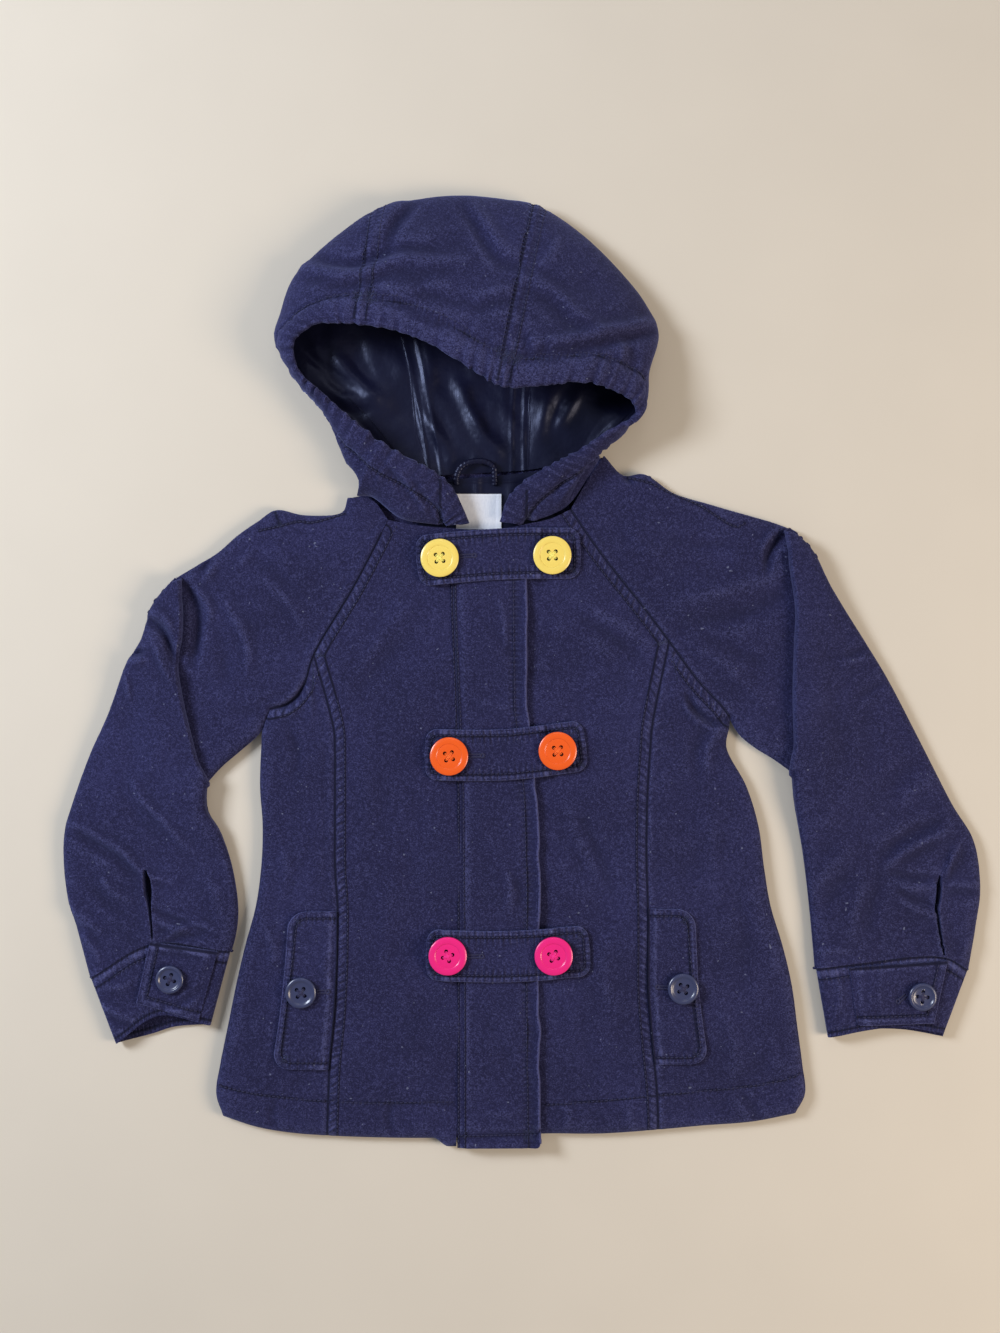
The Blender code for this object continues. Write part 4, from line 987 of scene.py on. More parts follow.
def make_backs(step):
    """The back and the two sleeve backs."""
    left = joined(SIDE_LINE["right"][::-1], RAGLAN_LINE["right"])
    right = joined(SIDE_LINE["left"][::-1], RAGLAN_LINE["left"])
    plan = patch(HEM_LINE, np.array(BACK_NECKLINE, float), left, right, spread(430, step), spread(480, step))
    made = [back_sheet("back", [plan], [["start"]])]
    for side in OUTWARD:
        lines = SLEEVE_LINE[side]
        upper = patch(joined(lines["under"][::-1], RAGLAN_LINE[side]), lines["shoulder"][::-1],
                      lines["fold"][::-1], lines["back_neck"], spread(240, step), spread(150, step))
        lower = patch(lines["cuff_seam"], lines["fold"][:2], lines["outer"][::-1],
                      joined(lines["fold"], lines["inner"])[::-1], spread(110, step), spread(330, step))
        made.append(back_sheet(f"{side}_sleeve_back", [upper, lower], [["end"], ["left", "right"]]))
    return made


def make_uppers(step):
    """The sleeves' fronts above the elbow's fold."""
    made = []
    for side, outward in OUTWARD.items():
        lines, armpit = SLEEVE_LINE[side], RAGLAN_LINE[side]
        tucked = sideways(lines["fold"], outward * FOLD_TUCK)
        tucked[0], tucked[-1] = lines["fold"][0], lines["fold"][-1]
        shares = spread(240, step)
        plan = patch(joined(lines["under"][::-1], armpit), lines["shoulder"][::-1], tucked[::-1],
                     lines["neck"], shares, spread(150, step))
        points = np.dstack([plan, cloth_top(plan)])
        grid = with_marks(points, nearest_of(SEAM_LINES, plan), 0.0, nearest_of(FRONT_STITCH, plan), 2.5)
        grid = rolled(grid, "end", SEAM_HIGH)
        lengths = run_length(lines["under"])[-1], run_length(armpit)[-1]
        under = ease((lengths[0] / sum(lengths) - shares) / 0.03 + 0.5)
        start = grid[0, :, 2]
        grid = rolled(grid, "start", start - 0.6 - (start - 0.6 - SEAM_HIGH) * under)
        made.append(cotton_wall(f"{side}_sleeve_upper", grid))
    return made


def make_forearms(step):
    """The sleeves' fronts below the elbow, folded over at their inner edge."""
    made = []
    for side, outward in OUTWARD.items():
        lines, slit_at = SLEEVE_LINE[side], SLIT_AT[side]
        fold = lines["fold"]
        share = run_length(fold) / run_length(fold)[-1]
        inset = FOLD_BULGE * ease(share / 0.1) * ease((1 - share) / 0.12)
        inner_fold = fold + (sideways(fold, outward) - fold) * inset[:, None]
        start = along(lines["outer"], [LOWER_START])[0]
        top = np.array([start, along(fold, [LOWER_START])[0]])
        inside = joined(top[1:], inner_fold[TOP_POINTS:], lines["inner"][1:])[::-1]
        extra = np.linspace(slit_at - 0.04, slit_at + 0.04, 17)
        outside = between(lines["outer"], start, lines["outer"][-1])[::-1]
        plan = patch(lines["cuff_seam"], top, outside, inside,
                     spread(115, step, extra=extra), spread(320, step))
        points = np.dstack([plan, forearm_top(side, plan)])
        # Inside the slit the seam mark is 0, so the material paints it with the seam's dark colour: a painted
        # shade for the slit's unlit inside.
        slit_painted_shade = np.where(slit_share(side, plan) > 0.5, 0, FAR)
        grid = with_marks(points, (slit_painted_shade, 0 * slit_painted_shade))
        away, _ = nearest_on(fold, grid[:, -1, :2])
        on_fold = ease((5 - away) / 3)
        low = SEAM_HIGH + (cloth_top(grid[:, -1, :2]) + 0.2 - SEAM_HIGH) * on_fold
        bulge = RIM_BULGE + (FOLD_BULGE - RIM_BULGE) * on_fold
        grid = rolled(grid, "right", low, bulge, steps=8)
        grid = rolled(grid, "left", SEAM_HIGH)
        grid = rolled(grid, "end", SEAM_HIGH)
        grid = rolled(grid, "start", grid[0, :, 2] - 2.5, 0.4)
        name = f"{side}_sleeve_lower"
        made.append(cotton_wall(name, grid, nodes=[name, f"{side}_sleeve_fold"]))
    return made


def placket_lines():
    """The placket's sewn line and its free edge, from the hem up, and its rows of stitching."""
    left = np.array([(x, y) for y, x, _ in PLACKET_EDGES[::-1]], float)
    right = np.array([(x, y) for y, _, x in PLACKET_EDGES[::-1]], float)
    second = left + [[PLACKET_ROWS[1] + min(0, (y + 282) * -0.006), 0] for _, y in left]
    across = np.array(PLACKET_HEM_STITCH, float)
    return left, right, [left + [PLACKET_ROWS[0], 0], second, right - [PLACKET_STITCH, 0], across]


def make_placket(step):
    """The placket, whose free edge is rolled and rounded off at the hem."""
    left, right, stitches = placket_lines()
    bottom, top = np.array([left[0], right[0]]), np.array([left[-1], right[-1]])
    plan = patch(bottom, top, left, right, spread(60, step), spread(462, step))
    _, at_right = placket_edges(plan[..., 1])
    near_edge = at_right - plan[..., 0] < PLACKET_STITCH + 4
    grid = sewn_grid(plan, placket_top(plan), nearest_of(stitches, plan), np.where(near_edge, 7.0, 1.2))
    base = front_top(grid[:, -1, :2])
    grid = rolled(grid, "right", base + 0.2, 1.0)
    grid = rolled(grid, "start", 3.2, 0.8)
    grid = rolled(grid, "end", grid[-1, :, 2] - 1.5, 0.3)
    at_left, at_right = placket_edges(grid[..., 1])
    across = np.clip((grid[..., 0] - at_left) / (at_right - at_left), 0, 1)
    corner = np.clip((grid[..., 0] - at_right + PLACKET_CORNER) / PLACKET_CORNER, 0, 1)
    grid[..., 1] += PLACKET_CORNER * (1 - np.sqrt(1 - corner**2)) * ease((-342 - grid[..., 1]) / 12)
    down = np.dstack([grid[..., 1], 0 * across])
    grid[..., 0] += across**2 * (0.9 * lattice_noise(down, 13, 71) + 0.6 * lattice_noise(down, 31, 72))
    return [cotton_wall("placket", grid, 0.9)]


def rounded_edge(along_it, across_it, half_long, half_wide, corner):
    """How far inside the edge of a round-cornered shape each point lies, and where along the edge it is."""
    x, y = np.abs(along_it) - (half_long - corner), np.abs(across_it) - (half_wide - corner)
    outside = np.hypot(np.maximum(x, 0), np.maximum(y, 0))
    depth = corner - outside - np.minimum(np.maximum(x, y), 0)
    return depth, np.where(x > y, across_it + 500, along_it)


def rounded_stretch(length, corner, step):
    """Distances along a band, close together where its corners turn."""
    turn = corner * (1 - np.cos(np.radians(np.arange(0, 91, 10))))
    middle = np.linspace(corner, length - corner, int((length - 2 * corner) / step) + 2)[1:-1]
    return np.concatenate([turn, middle, (length - turn)[::-1]])


def narrowing(distance, length, corner):
    """How much narrower each side of a band is at distances along it, for quarter-round corners."""
    cut = np.clip(corner - np.minimum(distance, length - distance), 0, corner)
    return corner - np.sqrt(corner**2 - cut**2)


def sewn_edge(depth, line):
    """A turned edge that is stitched flat a little inside it: a soft roll outside the stitches."""
    return EDGE_ROLL * hill(depth - line / 2, 1.4) - STITCH_DIP * hill(depth - line, 1.2)


def ribs(plan, run, pitch, patches, seed):
    """From -1 to 1, in uneven ribs across a run."""
    return np.sin(2 * np.pi * run / pitch + 3 * lattice_noise(plan, patches, seed))


def laid_edges(grid, edges, under, bulge=0.7):
    """The grid with these edges rolled down to what it lies on, whose height under gives for x, y points."""
    for edge in edges:
        ends = turned(grid, edge)[-1]
        grid = rolled(grid, edge, np.minimum(under(ends[:, :2]), ends[:, 2] - 0.1), bulge)
    return grid


def make_tabs(step):
    """The three button tabs, which lie over the placket."""
    made = []
    for index, (name, middle) in enumerate(TABS.items()):
        line = smooth(middle)
        length = run_length(line)[-1]
        run = rounded_stretch(length, TAB_CORNER, step)
        centre = along(line, run / length)
        side = leftward(unit(np.gradient(centre, run, axis=0)))
        half = TAB_WIDTH / 2 - narrowing(run, length, TAB_CORNER)
        share = 2 * spread(TAB_WIDTH, step, NARROW_STEPS) - 1
        across = half[:, None] * share
        plan = centre[:, None] + across[..., None] * side[:, None]
        along_it = (run - length / 2)[:, None] + 0 * across
        depth, where = rounded_edge(along_it, across, length / 2, TAB_WIDTH / 2, TAB_CORNER)
        low = tab_low(plan)
        high = low + BAND + sewn_edge(depth, TAB_STITCH)
        high = high + 0.22 * ribs(plan, where, 4.3, 11, 20 + index) * hill(depth - 8, 4.5)
        high = high + crease_share() * 0.55 * soft_waves(plan + 300 * (index + 1))
        for size, x, y in BUTTONS.values():
            if size == "large":
                away = np.hypot(plan[..., 0] - x, plan[..., 1] - y)
                high = high - 0.5 * hill(away, 12, 4) + 0.3 * hill(away - 18, 4)
        grid = sewn_grid(plan, high, (np.abs(depth - TAB_STITCH), where), 8.0)
        made.append(cotton_wall(name, laid_edges(grid, ("left", "right", "start", "end"), tab_low), 1.0))
    return made


def flap_shape(side, outward, step):
    """A pocket flap's plan, and how far inside its free edge each point lies."""
    flap = FLAPS[f"{side}_flap"]
    high = flap["top"] - flap["bottom"]
    run = rounded_stretch(high, FLAP_CORNER, step)
    levels = flap["top"] - run
    line = PRINCESS_LINE[side][::-1]
    seam = np.interp(levels, line[:, 1], line[:, 0]) + outward * GAP
    full = np.interp(run, [0, high], [flap["wide_top"], flap["wide_bottom"]])
    wide = full - narrowing(run, high, FLAP_CORNER)
    across = wide[:, None] * spread(40, step, NARROW_STEPS)
    plan = np.stack([seam[:, None] + outward * across, levels[:, None] + 0 * across], axis=-1)
    along_it = (run - high / 2)[:, None] + 0 * across
    depth, where = rounded_edge(along_it, across, high / 2, full[:, None], FLAP_CORNER)
    return plan, depth, where, across


def make_flaps(step):
    """The two pocket flaps, each sewn in at its princess seam."""
    made = []
    for side, outward in OUTWARD.items():
        plan, depth, where, across = flap_shape(side, outward, step)
        low = front_top(plan) + GAP
        high = low + BAND * (0.35 + 0.65 * ease(across / 6)) + sewn_edge(depth, FLAP_STITCH)
        high = high + 0.16 * ribs(plan, where, 5.5, 13, 31) * hill(depth - 8, 4)
        high = high + crease_share() * (relief(plan, FLAP_CREASES) + 0.9 * soft_waves(plan + 120))
        grid = with_marks(np.dstack([plan, high]), (across, plan[..., 1]), 0.0,
                          (np.abs(depth - FLAP_STITCH), where), 5.0)
        grid = laid_edges(grid, ("right", "start", "end"), lambda points: front_top(points) + 0.2)
        made.append(cotton_wall(f"{side}_flap", grid, 1.0))
    return made


CUFF_ROWS = (0.8, 4.0)  # rows of stitches, in from the sleeve's seam and in from the cuff's edge
CUFF_END_SIZE = (56, 54)


def make_cuffs(step):
    """The cuffs' flattened bands and their buttoned ends."""
    made = []
    angle = np.linspace(0, 2 * np.pi, CUFF_SIDES + 1)
    fraction = (1 - np.cos(angle)) / 2
    rise = np.minimum(1, CUFF_SQUARE * np.sqrt(np.abs(np.sin(angle))))
    height = CUFF_HIGH / 2 * (1 + np.sign(np.sin(angle)) * rise)
    lower_half = np.sin(angle) < -1e-6
    for side in OUTWARD:
        lines = SLEEVE_LINE[side]
        seam, under, over = (along(lines[f"cuff_{line}"], fraction) for line in ("seam", "under", "edge"))
        edge = np.where(lower_half[:, None], under, over)
        down = spread(CUFF_DEEP, step)[:, None, None]
        rows = seam + (edge - seam) * down
        long = np.linalg.norm(edge - seam, axis=-1)[None] * down[..., 0]
        z = np.repeat(height[None], len(down), 0)
        top = np.clip((z - CUFF_HIGH / 2) / (CUFF_HIGH / 2), 0, 1)
        marks = np.abs([long - CUFF_ROWS[0], long - CUFF_STITCH, long[-1:] - long - CUFF_ROWS[1]]).min(axis=0)
        z = z + top * (crease_share() * (1.5 * relief(rows, CUFF_CREASES[side]) + 1.1 * soft_waves(rows + 60))
                       - 0.6 * hill(marks, 1.4) + 0.3 * hill(long - 5, 2.5))
        outward = np.dstack([rows - rows.mean(axis=1, keepdims=True), z - CUFF_HIGH / 2])
        grid = sewn_grid(rows, z, (marks, 110 * fraction + 0 * marks), 4.0)
        outward = outward * [0.02, 0.02, 1]
        made.append(cotton_wall(f"{side}_cuff", grid, 0.7, outward=outward, thick=CUFF_WALL))
        made.append(make_cuff_end(side, lines["cuff_end"], step * 0.8))
    return made


def make_cuff_end(side, corners, step):
    """The buttoned end of a cuff, which lies on the cuff."""
    bottom, top = corners[[0, 3]], corners[[1, 2]]
    free, closed = corners[[0, 1]], corners[[3, 2]]
    fine = (0, 0.4, 1, 2)
    wide, long = CUFF_END_SIZE
    plan = patch(bottom, top, free, closed, spread(wide, step, fine), spread(long, step, fine))
    from_free, run_free = nearest_on(free, plan)
    from_low, run_low = nearest_on(bottom, plan)
    from_top, _ = nearest_on(top, plan)
    from_closed, _ = nearest_on(closed, plan)
    depth = np.minimum(from_free, from_low)
    high = CUFF_HIGH + GAP + BAND * (0.25 + 0.75 * ease(from_closed / 9)) * (0.6 + 0.4 * ease(from_top / 4))
    waves = relief(plan, CUFF_END_CREASES) + 0.9 * soft_waves(plan + 700)
    high = high + sewn_edge(depth, CUFF_END_STITCH) + crease_share() * waves
    run = np.where(from_free < from_low, run_free, run_low)
    away = np.minimum(np.abs(depth - CUFF_END_STITCH), np.abs(from_top - 1.0))
    grid = laid_edges(sewn_grid(plan, high, (away, run), 3.0), ("left", "start", "end"), on_cuff)
    return cotton_wall(f"{side}_cuff_end", laid_edges(grid, ["right"], on_cuff, 0.2), 0.8)


def on_cuff(points):
    return np.full(len(points), CUFF_HIGH + 0.1)


# The hood

NORMAL_PASSES = 90  # how often the form's normals are evened out along its rows
CASING = 19.0  # from the opening's edge to the stitching of its casing
CASING_SWELL = 1.5
CASING_GROOVE = 1.7
GATHERS = (9.5, 5.6)  # how far apart the casing's large and small gathers are
GATHER_HIGH = 0.62
FACING = 22.0  # how far the edge is turned in
EDGE_ROUND = 2.0
HOOD_PAIR = 4.5  # from a panel seam to the row of stitches on each side of it
LINING_DEPTH = 2.3
NECK_STITCH = (((-45, 141), (-45, 104)), ((20, 132), (20, 109)))


def wing_profile(row):
    """From the hood's edge down to the front neckline."""
    edge, neck = row[:3], row[3:]
    turn = np.linspace(0, np.pi / 2, CROWN_STEPS + ROUND_STEPS + FLOOR_STEPS + 1)
    plan = edge[:2] + (neck[:2] - edge[:2]) * np.sin(turn)[:, None]
    return np.column_stack([plan, neck[2] + (edge[2] - neck[2]) * np.cos(turn)])


def crown_profile(row, inward, lift):
    """From the hood's edge over to its side, under, and along the surface to the neck."""
    edge, side, neck = row[:3], row[3:5], row[5:]
    far = np.linalg.norm(neck - side)
    inward = unit(np.array(inward) + (neck - side) / far)
    tuck = np.clip(TUCK_SHARE * far, *SIDE_TUCK)
    turn = np.linspace(0, np.pi / 2, CROWN_STEPS + 1)[:, None]
    over = edge[:2] + (side - edge[:2]) * np.sin(turn)
    fall = 0.6 * np.cos(turn) + 0.4 * (1 - np.sin(turn))
    over = np.column_stack([over, SIDE_Z + (edge[2] - SIDE_Z) * fall])
    turn = np.linspace(0, np.pi / 2, ROUND_STEPS + 1)[1:, None]
    under = side + inward * tuck * (1 - np.cos(turn))
    under = np.column_stack([under, lift + (SIDE_Z - lift) * (1 - np.sin(turn))])
    start = under[-1, :2]
    share = np.linspace(0, 1, FLOOR_STEPS + 1)[1:, None]
    bow = FLOOR_BOW * far * np.sin(np.pi * share)
    floor = np.column_stack([start + (neck - start) * share + inward * bow, np.full(FLOOR_STEPS, lift)])
    return np.vstack([over, under, floor])


def hood_surface():
    """The hood's outer surface, a row for each line from its opening to the neck, and its normals."""
    right = np.array([wing_profile(row) for row in smooth(HOOD_RIGHT_WING, HOOD_FINE)])
    rows = smooth(HOOD_CROWN, HOOD_FINE)
    heading = unit(np.gradient(rows[:, 3:5], axis=0))
    from_end = np.minimum(np.arange(len(rows)), np.arange(len(rows))[::-1])
    lifts = NECK_LIFT * np.clip(1 - from_end / (LIFTED_ROWS * HOOD_FINE / 2), 0, 1)
    crown = np.array([crown_profile(row, (y, -x), lift) for row, (x, y), lift in zip(rows, heading, lifts)])
    left = np.array([wing_profile(row) for row in smooth(HOOD_LEFT_WING, HOOD_FINE)])
    share = np.linspace(0, 1, WING_ROWS + 2)[1:-1, None, None]
    grid = np.vstack([
        right, right[-1:] * (1 - share) + crown[:1] * share,
        crown, crown[-1:] * (1 - share) + left[:1] * share, left,
    ])
    normals = grid_normals(grid)
    normals *= math.copysign(1, normals[len(grid) // 2, 0, 2])
    first = len(right) + WING_ROWS
    normals[first + 1 : first + len(crown) - 1, -FLOOR_STEPS - 1 :] = (0, 0, -1)
    for _ in range(NORMAL_PASSES):
        padded = np.pad(normals, ((1, 1), (0, 0), (0, 0)), mode="edge")
        normals = unit(padded[:-2] + 2 * padded[1:-1] + padded[2:])
    return grid, normals, first


def seen_from_above(points):
    """Where the camera sees each point, on the level at which the photo's scale was read."""
    return points[..., :2] * ((CAMERA_HIGH - SHARP_HIGH) / (CAMERA_HIGH - points[..., 2]))[..., None]


def casing_relief(run, down, seen):
    """How far the casing of the hood's edge stands out with its gathers, and the gathers alone."""
    on_casing = ease((CASING + 3 - down) / 4)
    along_it = np.dstack([run, 0 * run])
    slope = run + 8 * lattice_noise(along_it, 21, 12) + 1.5 * lattice_noise(seen, 9, 15)
    pucker = np.sin(2 * np.pi * slope / GATHERS[0]) + 0.5 * np.sin(2 * np.pi * slope / GATHERS[1] + 1)
    gathers = pucker * (0.35 + 0.65 * (0.5 + 0.5 * lattice_noise(along_it, 33, 14)))
    swell = CASING_SWELL * np.sin(np.pi * np.clip(down / CASING, 0, 1))
    beyond = 0.5 * hill(down - CASING - 4, 5) * (1 - on_casing)
    high = on_casing * (swell + GATHER_HIGH * gathers) + gathers * beyond
    return high - CASING_GROOVE * hill(down - CASING, 1.9), gathers


def panel_seams(points, down, seen, first):
    """How far the hood stands out at the seams of its panels, and how far off they are."""
    pair = np.full(down.shape, FAR)
    for row in HOOD_SEAM_ROWS:
        line = points[first + row * HOOD_FINE]
        pair = np.minimum(pair, np.linalg.norm(points - line[None], axis=-1))
    seam = 0.35 * hill(pair, 2.8) - 0.9 * hill(pair - HOOD_PAIR, 1.5)
    ripple = np.sin(2 * np.pi * down / 6.2 + 4 * lattice_noise(seen, 17, 9))
    return ease((down - 2) / 4) * (seam + 0.28 * ripple * hill(pair, 5.5, 4)), pair


def hood_relief(points, normals, first):
    """How far the hood's cloth stands out from its form, and its marks."""
    steps = np.linalg.norm(np.diff(points, axis=1), axis=-1)
    down = np.concatenate([np.zeros((len(points), 1)), np.cumsum(steps, axis=1)], axis=1)
    run = run_length(points[:, 0])[:, None] + 0 * down
    seen = seen_from_above(points)
    upward = np.clip(normals[..., 2] * 1.6, 0, 1)
    high = crease_share() * upward * (1.25 * relief(seen, HOOD_CREASES) * ease(down / 20 - 0.1)
                                      + 2.0 * soft_waves(seen + 1500))
    casing, gathers = casing_relief(run, down, seen)
    sewn, pair = panel_seams(points, down, seen, first)
    high = high + casing + sewn
    neck = np.full(down.shape, FAR)
    for line in NECK_STITCH:
        neck = np.minimum(neck, nearest_on(line, seen)[0] + FAR * (upward < 0.1))
    high = high - 0.9 * hill(neck, 1.8)
    row = np.arange(len(points))
    inside = ease((np.minimum(row, row[::-1]) - 4) / 14)[:, None]
    wavy = 1.1 * inside * gathers * np.clip(1 - down / 12, 0, 1)
    single = np.minimum(np.minimum(np.abs(pair - HOOD_PAIR), np.abs(down - CASING)), neck)
    where = np.where(np.abs(down - CASING) <= single, run, down)
    return high, down, (single, where), wavy


def make_hood():
    """The hood's three panels with their turned edge and their linings, and its rows of stitching."""
    points, normals, first = hood_surface()
    high, down, single, wavy = hood_relief(points, normals, first)
    outer = points + normals * high[..., None]
    outer = outer + unit(points[:, 0] - points[:, 3])[:, None] * wavy[..., None]
    grid, directions = with_turned_edge(outer, normals, down, single)
    lining = hood_lining(points, normals, high)
    start = int(np.argmax(down.mean(axis=0) > FACING - 5))
    rows = len(points)
    seams = [first + row * HOOD_FINE for row in HOOD_SEAM_ROWS]
    stretches = {
        # first and last row, and how many rows shorter the lining is at each end
        "right": (0, seams[0], HOOD_FINE, 0),
        "centre": (*seams, 0, 0),
        "left": (seams[1], rows - 1, 0, HOOD_FINE),
    }
    made = []
    for name, (low, top, skip_first, skip_last) in stretches.items():
        part = slice(low, top + 1)
        made.append(cotton_wall(f"hood_{name}", grid[part], outward=directions[part]))
        part = slice(low + skip_first, top + 1 - skip_last)
        made.append(satin_wall(f"hood_lining_{name}", lining[part, start:-1], -normals[part, start:-1]))
    ends = range(HOOD_FINE, rows - HOOD_FINE)
    stitches = [np.array([outer[row, int(np.argmax(down[row] > CASING))] for row in ends])]
    for row in seams:
        for shift in (-HOOD_PAIR, HOOD_PAIR):
            stitches.append(beside_row(outer, row, shift)[3 : CROWN_STEPS + 4])
    return made, stitches


def with_turned_edge(outer, normals, down, single):
    """The hood's grid with its opening's edge turned in, and the way that each of its points looks."""
    facing = int(np.argmax(down.mean(axis=0) > FACING))
    edge_out = unit(outer[:, 0] - outer[:, 3])
    face = normals[:, 0]
    centre = outer[:, 0] - face * EDGE_ROUND
    edge = [centre + EDGE_ROUND * (face * math.cos(turn) + 1.2 * edge_out * math.sin(turn))
            for turn in np.linspace(np.pi, 0, 9)[1:-1]]
    inside = (outer - normals * (2 * EDGE_ROUND))[:, facing::-1]
    full = np.concatenate([inside, np.swapaxes(np.array(edge), 0, 1), outer], axis=1)
    inner_down = np.concatenate([down[:, facing::-1], np.zeros((len(down), len(edge)))], axis=1)
    away = np.concatenate([np.abs(inner_down - CASING), single[0]], axis=1)
    run = np.concatenate([np.repeat(single[1][:, :1], inner_down.shape[1], 1), single[1]], axis=1)
    directions = [-normals[:, facing::-1], np.repeat(edge_out[:, None], len(edge), 1), normals]
    return with_marks(full, stitch=(away, run), reach=4.0), np.concatenate(directions, axis=1)


def beside_row(outer, row, shift):
    """The line on the hood that runs beside a row, that far from it."""
    step = 1 if shift > 0 else -1
    line = []
    for column in np.swapaxes(outer, 0, 1):
        reach = row
        while np.linalg.norm(column[reach] - column[row]) < abs(shift) and 0 < reach < len(outer) - 1:
            reach += step
        line.append(column[reach])
    return np.array(line)


def hood_lining(points, normals, high):
    """The lining's surface inside the hood, looser than the shell, which stands out that high."""
    base = points + normals * (np.minimum(high, 0) - LINING_DEPTH)[..., None]
    seen = seen_from_above(base)
    inside = np.clip(-normals[..., 2] * 1.3, 0, 1)
    from_side = np.clip(0.35 + 0.65 * inside, 0, 1)
    seam = np.full(seen.shape[:2], FAR)
    for line in LINING_SEAMS:
        seam = np.minimum(seam, nearest_on(line, seen)[0])
    skewed = seen @ np.array([[0.5, 0.86], [-0.86, 0.5]])
    folds = 1.2 + 1.9 * lattice_noise(seen + 200, 26, 41) + lattice_noise(skewed, 12, 43)
    loose = crease_share() * (relief(seen, LINING_CREASES) * from_side + inside * folds)
    loose = np.maximum(loose, -0.2) - 0.3 * inside * hill(seam, 2.0)
    return with_marks(base - normals * loose[..., None], stitch=(seam, seen[..., 1]))


# The neck

NECK_LINING = {
    "bottom": ((-60, 88), (40, 88)),
    "top": ((-62, 139), (-40, 141), (-10, 143), (20, 146), (42, 148)),
}
NECK_CREASES = (
    (1.2, 2.2, (-17, 142), (-17, 134), (-16, 126)),
    (-0.8, 2.0, (-13, 142), (-13, 134), (-12, 126)),
    (1.0, 3, (10, 142), (8, 130), (12, 118)),
)
NECK_SEAM = 139
LABEL = ((-33, 101), (1, 101), (1, 130), (-33, 130))
LABEL_WALL = 0.45
LABEL_HIGH = 4.5
LABEL_FOLD = 3.2  # how far each of its ends is folded under
LABEL_STITCH = 127.5
HANGER = ((-33, 137, 5.0), (-33, 142, 6.8), (-30, 149, 8), (-24, 153, 8.6), (-12, 154, 8.6), (-5, 150, 8),
          (-4, 143, 6.8), (-4, 137, 5.0))
HANGER_ACROSS = (2.3, 1.5)  # half its width and half its thickness


def make_neck(step):
    """The back's lining in the neck, the bare label and the hanger loop."""
    bottom, top = (np.array(NECK_LINING[edge], float) for edge in ("bottom", "top"))
    left, right = np.array([bottom[0], top[0]]), np.array([bottom[1], top[-1]])
    plan = patch(bottom, top, left, right, spread(100, step), spread(54, step))
    waves = np.maximum(relief(plan, NECK_CREASES) + 0.5 * soft_waves(plan + 55), -0.3)
    high = 3.1 + crease_share() * waves + 0.9 * ease((plan[..., 1] - NECK_SEAM + 1) / 4)
    grid = sewn_grid(plan, high, (np.abs(plan[..., 1] - NECK_SEAM), plan[..., 0]))
    return [satin_wall("neck_lining", grid), make_label(), make_hanger()]


def make_label():
    """The bare label, its two ends folded under."""
    corners = np.array(LABEL, float)
    plan = patch(corners[[0, 1]], corners[[3, 2]], corners[[0, 3]], corners[[1, 2]], spread(34, 1.2),
                 spread(30, 1.2))
    across = plan[..., 0] - corners[0, 0]
    width = corners[1, 0] - corners[0, 0]
    fold = 0.35 * ((across < LABEL_FOLD) | (across > width - LABEL_FOLD))
    high = LABEL_HIGH + fold + 0.25 * np.sin(plan[..., 0] / 7) + 0.3 * ease((plan[..., 1] - 124) / 5)
    grid = sewn_grid(plan, high, (np.abs(plan[..., 1] - LABEL_STITCH), plan[..., 0]))
    return cloth_wall("neck_label", grid, LABEL_WALL, woven_label(), ["neck_label"])


def make_hanger():
    """A flattened, turned strip of the lining's cloth, bent into a loop."""
    line = smooth(HANGER, 12)
    heading = unit(np.gradient(line, axis=0))
    side = unit(np.cross(heading, (0, 0, 1)))
    up = np.cross(side, heading)
    turn = np.linspace(0, 2 * np.pi, 20, endpoint=False)
    wave = 1 + 0.10 * np.sin(run_length(line) * 2.1)[:, None]
    flattened = np.sin(turn) * (1 - 0.35 * np.cos(turn) ** 6)
    rings = (line[:, None] + side[:, None] * (HANGER_ACROSS[0] * wave * np.cos(turn))[..., None]
             + up[:, None] * (HANGER_ACROSS[1] * wave * flattened)[..., None])
    count = rings.shape[1]
    index = np.arange(rings.shape[0] * count).reshape(rings.shape[:2])
    after = np.roll(index, -1, axis=1)
    faces = np.stack([index[:-1], after[:-1], after[1:], index[1:]], axis=-1).reshape(-1, 4)
    made = new_piece("hanger_loop_satin", rings.reshape(-1, 3), faces, lining_satin(), ["hanger_loop"])
    mesh = bmesh.new()
    mesh.from_mesh(made.data)
    bmesh.ops.holes_fill(mesh, edges=[edge for edge in mesh.edges if edge.is_boundary], sides=0)
    bmesh.ops.recalc_face_normals(mesh, faces=mesh.faces)
    mesh.to_mesh(made.data)
    mesh.free()
    return made


# Buttons

BUTTONS = {
    "button_top_right": ("large", -45, 81),
    "button_top_left": ("large", 39, 83),
    "button_middle_right": ("large", -38, -67),
    "button_middle_left": ("large", 43, -63),
    "button_bottom_right": ("large", -39, -216),
    "button_bottom_left": ("large", 40, -216),
    "pocket_button_right": ("pocket", -149, -244),
    "pocket_button_left": ("pocket", 137, -241),
    "cuff_button_right": ("cuff", -247, -234),
    "cuff_button_left": ("cuff", 316, -247),
}
BUTTON_ACROSS = {"large": 28.5, "pocket": 23.0, "cuff": 20.8}
BUTTON_HIGH = 3.8
